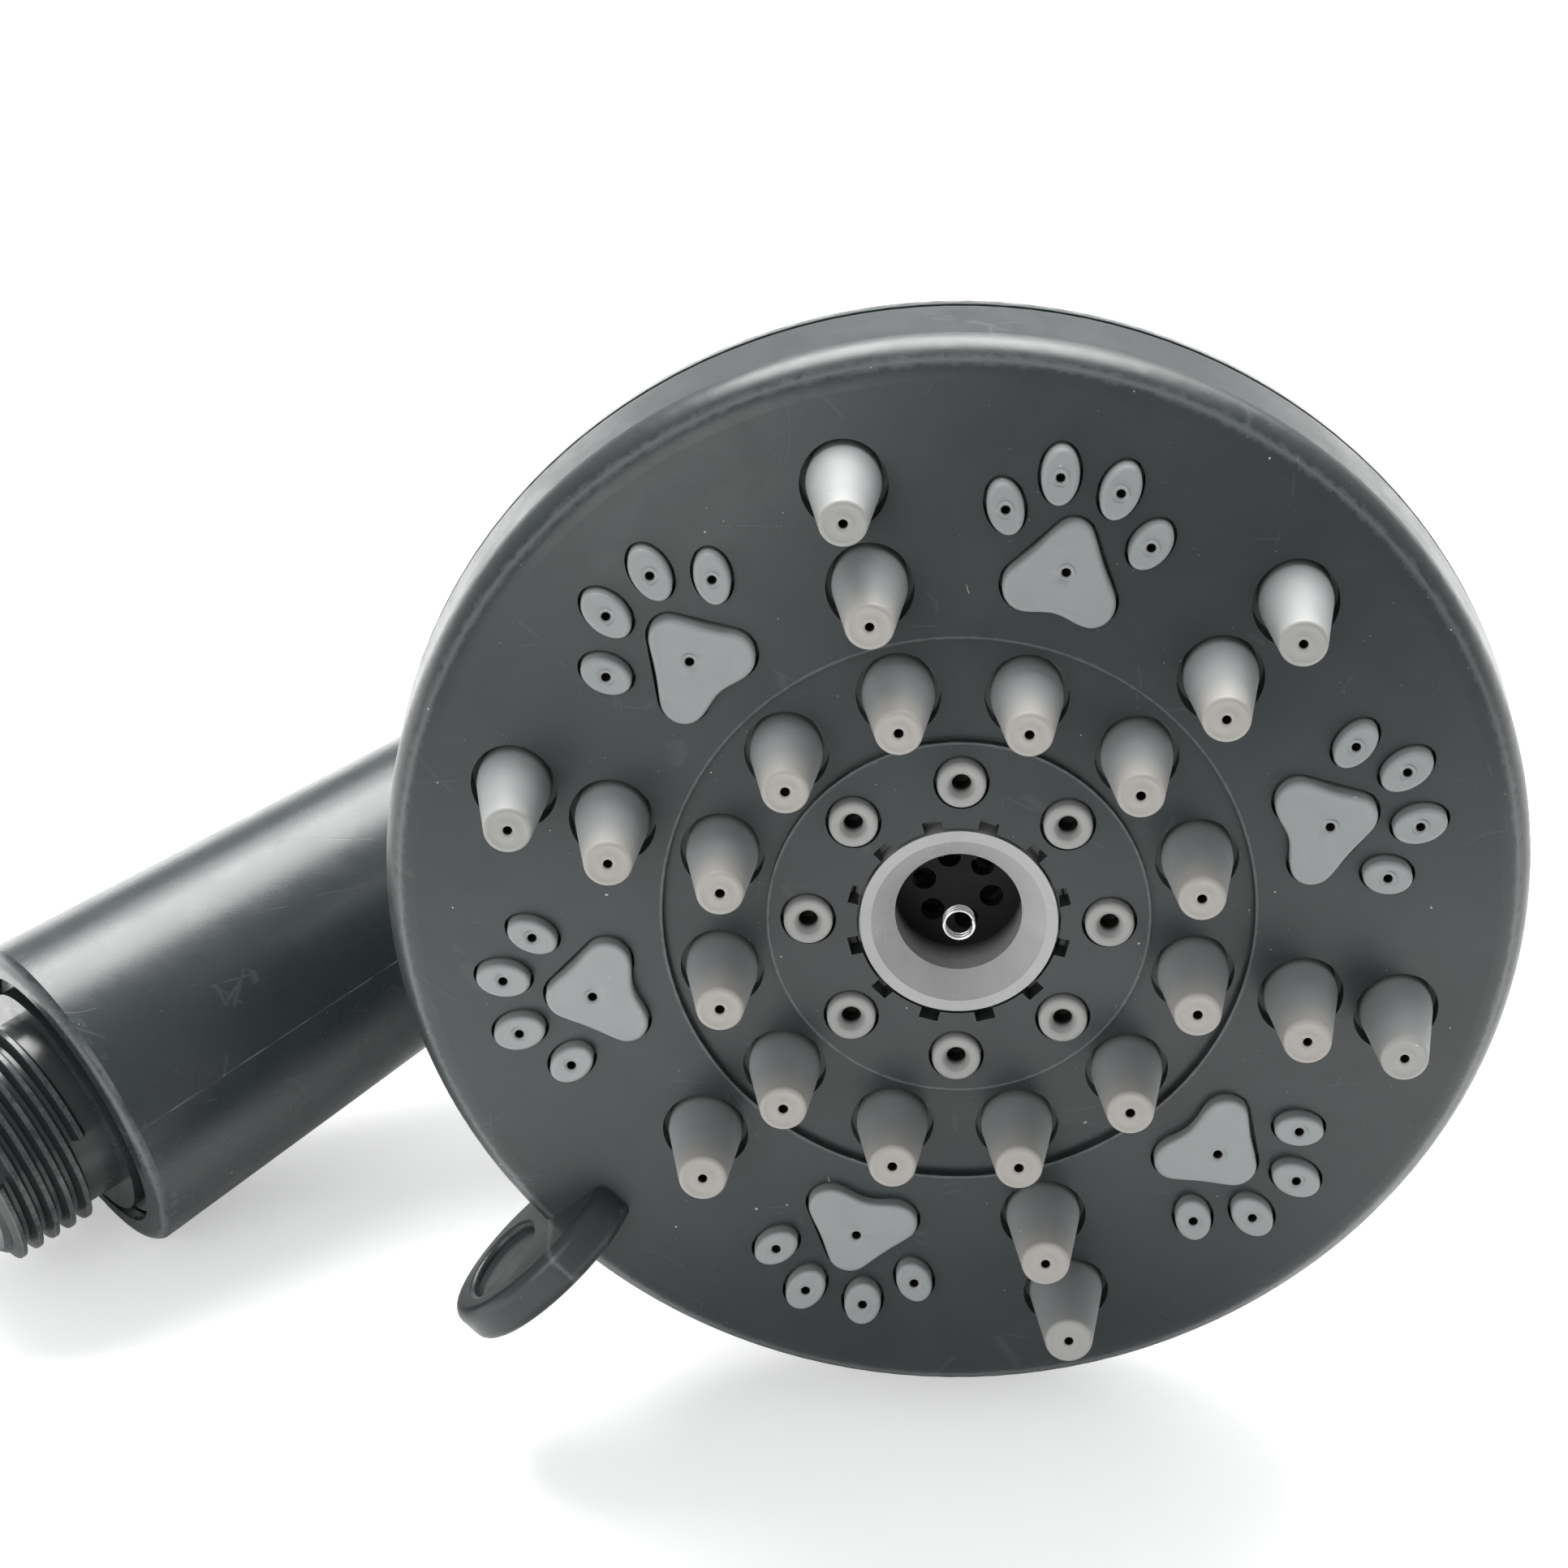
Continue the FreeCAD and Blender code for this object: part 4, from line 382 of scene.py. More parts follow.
    @staticmethod
    def _painted_edge_highlight() -> bpy.types.NodeTree:
        """A soft line round an axis: the mask of a painted highlight along a turned edge."""
        wires, given, made = open_group("painted_edge_highlight", "ShaderNodeTree", [
            ("Vector", "NodeSocketVector", None),
            ("Centre", "NodeSocketVector", None),
            ("Axis", "NodeSocketVector", None),
            ("Radius", "NodeSocketFloat", 50 * MM),
            ("Width", "NodeSocketFloat", 1 * MM),
        ], [("Mask", "NodeSocketFloat"), ("Along", "NodeSocketFloat")])
        arm = wires.vectors("SUBTRACT", given.outputs["Vector"], given.outputs["Centre"])
        along = wires.vectors("DOT_PRODUCT", arm, given.outputs["Axis"], "Value")
        across = wires.vectors("LENGTH", wires.vectors("CROSS_PRODUCT", arm,
                                                       given.outputs["Axis"]), output="Value")
        miss = wires.maths("ABSOLUTE", wires.maths("SUBTRACT", across, given.outputs["Radius"]))
        ragged = wires.noise(given.outputs["Vector"], 900.0, 4.0, 0.7)
        reach = wires.maths("MULTIPLY", given.outputs["Width"],
                            wires.between(ragged, 0.3, 0.7, 0.3, 1.5, smooth=False))
        share = wires.maths("SUBTRACT", 1.0, wires.maths("DIVIDE", miss, reach), clamp=True)
        wires.feed(made.inputs["Mask"], share)
        wires.feed(made.inputs["Along"], along)
        return wires.tree


# ---------------------------------------------------------------------------------------------
# Finishes
# ---------------------------------------------------------------------------------------------


def new_material(name: str) -> tuple[bpy.types.Material, Wiring, bpy.types.Node,
                                     bpy.types.NodeSocket]:
    """Makes a material with only its shader.

    Args:
        name: the material's name.

    Returns:
        The material, its wiring, its Principled BSDF and the Object coordinates.
    """
    made = bpy.data.materials.new(name)
    made.use_nodes = True
    made.node_tree.nodes.clear()
    wires = Wiring(made.node_tree)
    shader = wires.node("ShaderNodeBsdfPrincipled")
    output = wires.node("ShaderNodeOutputMaterial")
    made.node_tree.links.new(shader.outputs[0], output.inputs["Surface"])
    place = wires.node("ShaderNodeTexCoord").outputs["Object"]
    return made, wires, shader, place


def bump(wires: Wiring, shader: bpy.types.Node, height: Feed, depth: float,
         strength: float = 1.0) -> None:
    """Feeds a height to the shader's normal.

    Args:
        wires: the material's wiring.
        shader: the shader that gets the normal.
        height: the height, 0 to 1.
        depth: how deep 1 is, in metres.
        strength: the bump's strength.
    """
    made = wires.node("ShaderNodeBump")
    made.inputs["Strength"].default_value = strength
    made.inputs["Distance"].default_value = depth
    wires.feed(made.inputs["Height"], height)
    wires.feed(shader.inputs["Normal"], made.outputs[0])


@dataclass(frozen=True)
class PaintedHighlightBand:
    """A painted highlight line round an axis: its centre, axis, radius, width and reach along the
    axis.
    """

    centre: tuple[float, float, float]
    axis: tuple[float, float, float]
    radius: float
    width: float
    along: tuple[float, float] = (-1.0, 1.0)


@dataclass(frozen=True)
class MouldedPlastic:
    """Injection moulded plastic: two close shades, fine grain, dust, hairlines, painted edge
    highlights, painted bore shade.
    """

    name: str
    shade: tuple[float, float, float]
    second_shade: tuple[float, float, float]
    rough: float = 0.4
    rough_spread: float = 0.06
    grain: float = 0.16 * MM
    grain_depth: float = 0.006 * MM
    flow: float = 14 * MM
    dust: float = 0.0
    lint: float = 0.0
    scratches: float = 0.0
    specular: float = 0.5
    highlight_bands: tuple[PaintedHighlightBand, ...] = ()
    parting_until: Optional[float] = None
    painted_bore_shade: Optional[tuple[float, float]] = None

    def make(self, effects: SurfaceEffects) -> bpy.types.Material:
        """Builds the material.

        Args:
            effects: the shared shader groups.

        Returns:
            The material.
        """
        made, wires, shader, place = new_material(self.name)
        skin = wires.group(effects.grain, Vector=place, Grain_Size=self.grain,
                           Flow_Size=self.flow)
        colour = wires.blend(skin.outputs["Tone"], (*self.shade, 1.0), (*self.second_shade, 1.0))
        gloss = wires.between(skin.outputs["Gloss"], 0.0, 1.0, self.rough - self.rough_spread,
                              self.rough + self.rough_spread, smooth=False)
        height = skin.outputs["Height"]
        if self.scratches:
            lines = wires.group(effects.hairlines, Vector=place, Spacing=9 * MM,
                                Share=self.scratches).outputs["Mask"]
            colour = wires.blend(wires.maths("MULTIPLY", lines, 0.07), colour,
                                 (0.22, 0.23, 0.23, 1.0))
            gloss = wires.maths("MULTIPLY_ADD", lines, 0.05, gloss)
            height = wires.maths("MULTIPLY_ADD", lines, -0.5, height)
        # Painted highlight: each band lays a pale line along a turned edge, where light catches
        # it, and makes that line a little glossier.
        for highlight_band in self.highlight_bands:
            edge = wires.group(effects.highlight_band, Vector=place, Centre=highlight_band.centre, Axis=highlight_band.axis,
                               Radius=highlight_band.radius, Width=highlight_band.width)
            after = wires.maths("GREATER_THAN", edge.outputs["Along"], highlight_band.along[0])
            before = wires.maths("LESS_THAN", edge.outputs["Along"], highlight_band.along[1])
            highlight_share = wires.maths("MULTIPLY", edge.outputs["Mask"],
                              wires.maths("MULTIPLY", after, before))
            colour = wires.blend(wires.maths("MULTIPLY", highlight_share, 0.30), colour,
                                 (0.24, 0.255, 0.26, 1.0))
            gloss = wires.maths("MULTIPLY_ADD", highlight_share, -0.07, gloss)
        if self.parting_until is not None:
            parts = wires.node("ShaderNodeSeparateXYZ")
            wires.feed(parts.inputs[0], place)
            on_plane = wires.between(wires.maths("ABSOLUTE", parts.outputs["Y"]), 0.02 * MM,
                                     0.11 * MM, 1.0, 0.0)
            outside = wires.maths("LESS_THAN", parts.outputs["X"], self.parting_until)
            patchy = wires.between(wires.noise(wires.stretched(place, (1.0, 0.2, 1.0)), 260.0,
                                               3.0), 0.4, 0.58, 0.15, 1.0)
            line = wires.maths("MULTIPLY", wires.maths("MULTIPLY", on_plane, outside), patchy)
            colour = wires.blend(wires.maths("MULTIPLY", line, 0.35), colour,
                                 (0.26, 0.27, 0.27, 1.0))
            height = wires.maths("MULTIPLY_ADD", line, 2.5, height)
        # Painted shade: the colour darkens to near black down the bore, between the two heights
        # given.
        if self.painted_bore_shade is not None:
            parts = wires.node("ShaderNodeSeparateXYZ")
            wires.feed(parts.inputs[0], place)
            depth = wires.between(parts.outputs["Z"], self.painted_bore_shade[0], self.painted_bore_shade[1],
                                  1.0, 0.0)
            colour = wires.blend(depth, colour, (0.012, 0.012, 0.012, 1.0))
        if self.dust:
            specks = wires.group(effects.dust, Vector=place, Spacing=2.6 * MM, Share=self.dust,
                                 Lint=self.lint).outputs["Mask"]
            colour = wires.blend(wires.maths("MULTIPLY", specks, 0.62), colour,
                                 (0.55, 0.54, 0.50, 1.0))
            gloss = wires.maths("MULTIPLY_ADD", specks, 0.35, gloss)
            height = wires.maths("MULTIPLY_ADD", specks, 2.0, height)
        wires.feed(shader.inputs["Base Color"], colour)
        wires.feed(shader.inputs["Roughness"], gloss)
        shader.inputs["Specular IOR Level"].default_value = self.specular
        bump(wires, shader, height, self.grain_depth)
        return made


@dataclass(frozen=True)
class SoftSilicone:
    """Pale silicone rubber: milky tone, warmer near the tips, a dry sheen, clinging dust and
    painted shade in the bores.
    """

    name: str
    shade: tuple[float, float, float]
    tip_shade: tuple[float, float, float]
    tip_from: float
    tip_to: float
    rough: float = 0.52
    grain: float = 0.22 * MM
    grain_depth: float = 0.010 * MM

    def make(self, effects: SurfaceEffects) -> bpy.types.Material:
        """Builds the material.

        Args:
            effects: the shared shader groups.

        Returns:
            The material.
        """
        made, wires, shader, place = new_material(self.name)
        skin = wires.group(effects.grain, Vector=place, Grain_Size=self.grain,
                           Flow_Size=5 * MM)
        parts = wires.node("ShaderNodeSeparateXYZ")
        wires.feed(parts.inputs[0], place)
        near_tip = wires.between(parts.outputs["Z"], self.tip_from, self.tip_to)
        colour = wires.blend(near_tip, (*self.shade, 1.0), (*self.tip_shade, 1.0))
        deeper = wires.blend(1.0, colour, (0.90, 0.91, 0.91, 1.0), "MULTIPLY")
        colour = wires.blend(wires.maths("MULTIPLY", skin.outputs["Tone"], 0.5), colour, deeper)
        specks = wires.group(effects.dust, Vector=place, Spacing=2.6 * MM, Share=0.35,
                             Lint=0.3).outputs["Mask"]
        colour = wires.blend(wires.maths("MULTIPLY", specks, 0.5), colour,
                             (0.75, 0.74, 0.70, 1.0))
        # Painted shade: faces down each nozzle's bore, marked by the bore attribute, are coloured
        # near black.
        bore = wires.node("ShaderNodeAttribute", attribute_name="bore").outputs["Fac"]
        colour = wires.blend(bore, colour, (0.016, 0.012, 0.009, 1.0))
        wires.feed(shader.inputs["Base Color"], colour)
        wires.feed(shader.inputs["Roughness"],
                   wires.between(skin.outputs["Gloss"], 0.0, 1.0, self.rough - 0.07,
                                 self.rough + 0.08, smooth=False))
        shader.inputs["Specular IOR Level"].default_value = 0.42
        bump(wires, shader, wires.maths("MULTIPLY_ADD", specks, 1.5, skin.outputs["Height"]),
             self.grain_depth)
        return made


@dataclass(frozen=True)
class SealRubber:
    """Black sealing rubber with a matt, slightly bloomed surface."""

    name: str

    def make(self, effects: SurfaceEffects) -> bpy.types.Material:
        """Builds the material from the shared shader groups."""
        made, wires, shader, place = new_material(self.name)
        skin = wires.group(effects.grain, Vector=place, Grain_Size=0.3 * MM, Flow_Size=6 * MM)
        wires.feed(shader.inputs["Base Color"],
                   wires.blend(skin.outputs["Tone"], (0.010, 0.010, 0.011, 1.0),
                               (0.022, 0.022, 0.023, 1.0)))
        wires.feed(shader.inputs["Roughness"],
                   wires.between(skin.outputs["Gloss"], 0.0, 1.0, 0.55, 0.75, smooth=False))
        bump(wires, shader, skin.outputs["Height"], 0.02 * MM)
        return made


@dataclass(frozen=True)
class TurnedSteel:
    """Stainless steel with fine tool marks round its features and a few water marks."""

    name: str

    def make(self, effects: SurfaceEffects) -> bpy.types.Material:
        """Builds the material from the shared shader groups."""
        made, wires, shader, place = new_material(self.name)
        skin = wires.group(effects.grain, Vector=place, Grain_Size=0.12 * MM, Flow_Size=4 * MM)
        tool_marks = wires.noise(wires.stretched(place, (0.2, 0.2, 1.0)), 9000.0, 2.0)
        wires.feed(shader.inputs["Base Color"],
                   wires.blend(skin.outputs["Tone"], (0.56, 0.56, 0.55, 1.0),
                               (0.68, 0.68, 0.67, 1.0)))
        shader.inputs["Metallic"].default_value = 1.0
        wires.feed(shader.inputs["Roughness"],
                   wires.between(skin.outputs["Gloss"], 0.0, 1.0, 0.18, 0.36, smooth=False))
        bump(wires, shader, tool_marks, 0.008 * MM)
        return made


# ---------------------------------------------------------------------------------------------
# Mesh making
# ---------------------------------------------------------------------------------------------


Ring = list[tuple[float, float, float]]


def to_object(name: str, build: bmesh.types.BMesh, smooth_under: float = 38.0
              ) -> bpy.types.Object:
    """Turns a bmesh into an object at the origin with outward faces.

    Args:
        name: the object's name.
        build: the mesh, which is freed.
        smooth_under: edges sharper than this many degrees stay sharp.

    Returns:
        The object, linked to the scene.
    """
    bmesh.ops.remove_doubles(build, verts=build.verts, dist=1e-7)
    bmesh.ops.recalc_face_normals(build, faces=build.faces)
    mesh = bpy.data.meshes.new(name)
    build.to_mesh(mesh)
    build.free()
    mesh.shade_smooth()
    mesh.set_sharp_from_angle(angle=math.radians(smooth_under))
    made = bpy.data.objects.new(name, mesh)
    bpy.context.scene.collection.objects.link(made)
    return made


def skin_rings(build: bmesh.types.BMesh, rings: Sequence[Ring], closed_ends: bool = True,
               bore_rings: int = 0) -> None:
    """Joins equal rings of points by quads, one ring to the next.

    Args:
        build: the mesh to add to.
        rings: rings of points, all with the same count.
        closed_ends: whether the first and last rings are filled.
        bore_rings: how many of the last rings lie in a bore, marked in the attribute "bore", which
            the silicone finish paints near black as shade.
    """
    layer = build.verts.layers.float.get("bore") or build.verts.layers.float.new("bore")
    rows = [[build.verts.new(point) for point in ring] for ring in rings]
    for row in rows[len(rows) - bore_rings:]:
        for vertex in row:
            vertex[layer] = 1.0
    for low, high in zip(rows, rows[1:]):
        for i in range(len(low)):
            j = (i + 1) % len(low)
            build.faces.new((low[i], low[j], high[j], high[i]))
    if closed_ends:
        for row, ring in ((rows[0], rings[0]), (rows[-1], rings[-1])):
            middle = build.verts.new(tuple(sum(p[k] for p in ring) / len(ring)
                                           for k in range(3)))
            middle[layer] = row[0][layer]
            for i in range(len(row)):
                build.faces.new((row[i], row[(i + 1) % len(row)], middle))


def circle_ring(radius: float, height: float, steps: int,
                centre: tuple[float, float] = (0.0, 0.0)) -> Ring:
    """Points of a level circle."""
    return [(centre[0] + radius * math.cos(2 * math.pi * i / steps),
             centre[1] + radius * math.sin(2 * math.pi * i / steps), height)
            for i in range(steps)]


def turned_solid(build: bmesh.types.BMesh, profile: Sequence[tuple[float, float]],
                 steps: int, bore_rings: int) -> None:
    """Turns a profile of (radius, height) points, both ends filled, about Z."""
    skin_rings(build, [circle_ring(radius, height, steps) for radius, height in profile],
               bore_rings=bore_rings)


def quarter_round(radius: float, height: float, round_by: float, steps: int = 5
                  ) -> list[tuple[float, float]]:
    """A rounded outer corner, from the side wall to the top.

    Args:
        radius: radius of the side wall.
        height: height of the top.
        round_by: radius of the round.
        steps: points in the round.

    Returns:
        Its (radius, height) points, side first.
    """
    return [(radius - round_by * (1 - math.cos(math.pi / 2 * i / steps)),
             height - round_by * (1 - math.sin(math.pi / 2 * i / steps)))
            for i in range(steps + 1)]


# ---------------------------------------------------------------------------------------------
# Rings of pieces, by Geometry Nodes
# ---------------------------------------------------------------------------------------------


@dataclass(frozen=True)
class RoundTheFace:
    """One piece set several times round the spray axis."""

    label: str
    piece: bpy.types.Object
    count: int
    first: float
    step: float
    along: float
    across: float = 0.0
    turn: float = 0.0


class FaceLayout:
    """Geometry Nodes that set small pieces round the spray axis."""

    RING_INPUTS = (("Piece", "NodeSocketObject"), ("Count", "NodeSocketInt"),
                   ("First Angle", "NodeSocketFloat"), ("Step Angle", "NodeSocketFloat"),
                   ("Along", "NodeSocketFloat"), ("Across", "NodeSocketFloat"),
                   ("Turn", "NodeSocketFloat"))

    def __init__(self, centre: Vector) -> None:
        """Keeps the spray axis's place and builds the ring group."""
        self.centre = centre
        self.ring = self._ring_of_pieces()

    def _ring_of_pieces(self) -> bpy.types.NodeTree:
        """The group that sets one piece Count times round the axis, each turned to face out."""
        wires, given, made = open_group(
            "ring_of_pieces", "GeometryNodeTree",
            [(name, kind, None) for name, kind in self.RING_INPUTS]
            + [("Centre", "NodeSocketVector", None)],
            [("Geometry", "NodeSocketGeometry")])
        line = wires.node("GeometryNodeMeshLine")
        wires.feed(line.inputs["Count"], given.outputs["Count"])
        wires.feed(line.inputs["Offset"], (0.0, 0.0, 0.0))
        angle = wires.maths("MULTIPLY_ADD", wires.node("GeometryNodeInputIndex").outputs[0],
                            given.outputs["Step Angle"], given.outputs["First Angle"])
        arm = wires.node("ShaderNodeCombineXYZ")
        wires.feed(arm.inputs["X"], given.outputs["Along"])
        wires.feed(arm.inputs["Y"], given.outputs["Across"])
        spun = wires.node("ShaderNodeVectorRotate", rotation_type="Z_AXIS")
        wires.feed(spun.inputs["Vector"], arm.outputs[0])
        wires.feed(spun.inputs["Angle"], angle)
        where = wires.vectors("ADD", spun.outputs[0], given.outputs["Centre"])
        placed = wires.node("GeometryNodeSetPosition")
        wires.feed(placed.inputs["Geometry"], line.outputs[0])
        wires.feed(placed.inputs["Position"], where)
        source = wires.node("GeometryNodeObjectInfo", transform_space="ORIGINAL")
        wires.feed(source.inputs["Object"], given.outputs["Piece"])
        facing = wires.node("ShaderNodeCombineXYZ")
        wires.feed(facing.inputs["Z"], wires.maths("ADD", angle, given.outputs["Turn"]))
        copies = wires.node("GeometryNodeInstanceOnPoints")
        wires.feed(copies.inputs["Points"], placed.outputs[0])
        wires.feed(copies.inputs["Instance"], source.outputs["Geometry"])
        wires.feed(copies.inputs["Rotation"], facing.outputs[0])
        wires.feed(made.inputs["Geometry"], copies.outputs[0])
        return wires.tree

    def build(self, name: str, base: bpy.types.Object, rings: Sequence[RoundTheFace],
              finish: bpy.types.Material) -> bpy.types.Object:
        """Sets every ring of pieces on a base and makes one plain mesh of it all.

        Args:
            name: the finished piece's name.
            base: the web that they stand on, which is used up.
            rings: the rings of pieces, whose own objects are used up.
            finish: the material of the whole piece.

        Returns:
            The finished piece.
        """
        sockets = [("Web", "NodeSocketGeometry", None), ("Centre", "NodeSocketVector", None),
                   ("Finish", "NodeSocketMaterial", None)]
        sockets += [(f"{ring.label} {label}", kind, None) for ring in rings
                    for label, kind in self.RING_INPUTS]
        wires, given, made = open_group(name + "_layout", "GeometryNodeTree", sockets,
                                        [("Geometry", "NodeSocketGeometry")])
        wires.tree.is_modifier = True
        joined = wires.node("GeometryNodeJoinGeometry")
        wires.feed(joined.inputs[0], given.outputs["Web"])
        for ring in rings:
            part = wires.group(self.ring, Centre=given.outputs["Centre"])
            for label, _ in self.RING_INPUTS:
                wires.feed(part.inputs[label], given.outputs[f"{ring.label} {label}"])
            wires.feed(joined.inputs[0], part.outputs[0])
        real = wires.node("GeometryNodeRealizeInstances")
        wires.feed(real.inputs[0], joined.outputs[0])
        dressed = wires.node("GeometryNodeSetMaterial")
        wires.feed(dressed.inputs["Geometry"], real.outputs[0])
        wires.feed(dressed.inputs["Material"], given.outputs["Finish"])
        wires.feed(made.inputs[0], dressed.outputs[0])
        values: dict[str, Any] = {"Centre": tuple(self.centre), "Finish": finish}
        for ring in rings:
            values.update({
                f"{ring.label} Piece": ring.piece, f"{ring.label} Count": ring.count,
                f"{ring.label} First Angle": math.radians(ring.first),
                f"{ring.label} Step Angle": math.radians(ring.step),
                f"{ring.label} Along": ring.along, f"{ring.label} Across": ring.across,
                f"{ring.label} Turn": math.radians(ring.turn)})
        return plain_result(name, base, wires.tree, values, [ring.piece for ring in rings])


def plain_result(name: str, base: bpy.types.Object, tree: bpy.types.NodeTree,
                 values: dict[str, Any], used_up: Iterable[bpy.types.Object]
                 ) -> bpy.types.Object:
    """Runs a Geometry Nodes tree on an object and keeps the result as a plain mesh.

    Args:
        name: the finished piece's name.
        base: the object that gets the tree, which is removed.
        tree: the tree.
        values: the tree's inputs by name.
        used_up: further objects that the tree reads, removed afterwards.

    Returns:
        The finished piece at the origin.
    """
    modifier = base.modifiers.new(tree.name, "NODES")
    modifier.node_group = tree
    for item in tree.interface.items_tree:
        if item.item_type == "SOCKET" and item.in_out == "INPUT" and item.name in values:
            modifier[item.identifier] = values[item.name]
    base.update_tag()
    seen = base.evaluated_get(bpy.context.evaluated_depsgraph_get())
    mesh = bpy.data.meshes.new_from_object(seen)
    mesh.name = name
    base.modifiers.remove(modifier)
    for spent in [*used_up, base]:
        bpy.data.objects.remove(spent)
    made = bpy.data.objects.new(name, mesh)
    bpy.context.scene.collection.objects.link(made)
    return made


# ---------------------------------------------------------------------------------------------
# Sub-assemblies
# ---------------------------------------------------------------------------------------------


def dome(radius: float, below: float = 0.0) -> float:
    """Height of the face's dome over the head frame, a given depth under its surface."""
    return (0.74 - 180.0) * MM + math.sqrt((180.0 * MM - below) ** 2 - radius ** 2)


@dataclass
class LongCone:
    """A long soft nozzle: foot, taper, rounded rim, sunk end face, raised outlet, fine bore."""

    name: str
    foot: float
    end: float
    tip: float
    bore: float
    stand: float
    rim_round: float = 0.42 * MM
    sunk: float = 0.06 * MM
    outlet: float = 0.85 * MM
    bore_depth: float = 3.5 * MM
    steps: int = 56

    def make(self) -> bpy.types.Object:
        """Builds the nozzle about the Z axis, at its own height."""
        level = dome(self.stand) - 0.25 * MM
        top = self.tip
        web = dome(self.stand, 3.0 * MM)
        rise = top - self.rim_round - level
        profile = [(self.foot, web), (self.foot, level - 0.12 * MM),
                   (self.foot - 0.01 * MM, level - 0.03 * MM)]
        profile += [(self.foot + (self.end - self.foot) * share, level + rise * share)
                    for share in (0.01, 0.05, 0.3, 0.6, 0.9, 0.98)]
        profile += quarter_round(self.end, top, self.rim_round)
        flat = self.end - self.rim_round
        profile += [(flat - 0.1 * MM, top - self.sunk * 0.5), (flat - 0.22 * MM, top - self.sunk),
                    (self.outlet + 0.16 * MM, top - self.sunk),
                    (self.outlet + 0.05 * MM, top - self.sunk * 0.35),
                    (self.outlet - 0.08 * MM, top), (self.outlet - 0.22 * MM, top),
                    (self.bore + 0.08 * MM, top - 0.03 * MM), (self.bore, top - 0.12 * MM),
                    (self.bore, top - 0.13 * MM), (self.bore, top - self.bore_depth)]
        build = bmesh.new()
        turned_solid(build, profile, self.steps, 2)
        return to_object(self.name, build, 44.0)


@dataclass
class ShortNozzle:
    """A short round nozzle with a soft chamfer into a wide bore."""

    name: str
    radius: float
    tip: float
    bore: float
    stand: float
    rim_round: float = 0.42 * MM
    steps: int = 56

    def make(self) -> bpy.types.Object:
        """Builds the nozzle about the Z axis, at its own height."""
        top = self.tip
        web = dome(self.stand, 3.0 * MM)
        profile = [(self.radius, web), *quarter_round(self.radius, top, self.rim_round),
                   (self.bore + 0.46 * MM, top - 0.02 * MM),
                   (self.bore + 0.34 * MM, top - 0.12 * MM),
                   (self.bore + 0.1 * MM, top - 0.5 * MM), (self.bore, top - 0.7 * MM),
                   (self.bore, top - 0.95 * MM), (self.bore, top - 1.5 * MM),
                   (self.bore, top - 3.0 * MM)]
        build = bmesh.new()
        turned_solid(build, profile, self.steps, 2)
        return to_object(self.name, build, 44.0)


@dataclass
class CrownedPatch:
    """A flat-topped soft patch of any outline: wall, rounded rim, domed top, small outlet."""

    name: str
    outline: Callable[[float, int], list[tuple[float, float]]]
    stand: float
    height: float
    bore: float = 0.4 * MM
    rim_round: float = 0.42 * MM
    steps: int = 72
    twist: float = 0.0

    def make(self) -> bpy.types.Object:
        """Builds the patch about its outlet; x runs outwards along the face's radius."""
        web = dome(self.stand, 3.0 * MM)

        def top(x: float, y: float, lower: float) -> float:
            """Height of the top over a point, less a depth."""
            ca, sa = math.cos(self.twist), math.sin(self.twist)
            out = self.stand + x * ca - y * sa
            side = x * sa + y * ca
            return dome(math.hypot(out, side)) + self.height - lower

        def ring(inset: float, lower: float) -> Ring:
            """The outline, inset, at a depth under the top."""
            return [(x, y, top(x, y, lower)) for x, y in self.outline(inset, self.steps)]

        rings: list[Ring] = [[(x, y, web) for x, y in self.outline(0.0, self.steps)]]
        for k in range(6):
            lean = math.pi / 2 * k / 5
            rings.append(ring(self.rim_round * (1 - math.cos(lean)),
                              self.rim_round * (1 - math.sin(lean))))
        inner = ring(self.rim_round + 0.16 * MM, 0.03 * MM)
        rings.append(inner)
        outlet = 0.78 * MM
        for share in (0.25, 0.5, 0.75, 1.0):
            rings.append([
                (x * (1 - share) + outlet * math.cos(self._bearing(i)) * share,
                 y * (1 - share) + outlet * math.sin(self._bearing(i)) * share,
                 0.0) for i, (x, y, _) in enumerate(inner)])
            rings[-1] = [(x, y, top(x, y, 0.03 * MM)) for x, y, _ in rings[-1]]
        for radius, lower in ((outlet - 0.07 * MM, -0.035 * MM), (outlet - 0.17 * MM, -0.035 * MM),
                              (self.bore + 0.08 * MM, 0.03 * MM), (self.bore, 0.12 * MM),
                              (self.bore, 0.13 * MM), (self.bore, 1.6 * MM)):
            rings.append([(radius * math.cos(self._bearing(i)),
                           radius * math.sin(self._bearing(i)),
                           top(0.0, 0.0, lower)) for i in range(self.steps)])
        build = bmesh.new()
        skin_rings(build, rings, bore_rings=2)
        return to_object(self.name, build, 44.0)

    def _bearing(self, index: int) -> float:
        """The bearing of one of the outline's points from the outlet."""
        x, y = self.outline(self.rim_round, self.steps)[index]
        return math.atan2(y, x)


def toe_outline(long: float, wide: float) -> Callable[[float, int], list[tuple[float, float]]]:
    """An oval outline that can be inset.

    Args:
        long: half its length, along x.
        wide: half its width.

    Returns:
        A function from an inset and a count to points.
    """
    def outline(inset: float, steps: int) -> list[tuple[float, float]]:
        """The oval's points."""
        return [((long - inset) * math.cos(2 * math.pi * i / steps),
                 (wide - inset) * math.sin(2 * math.pi * i / steps)) for i in range(steps)]
    return outline


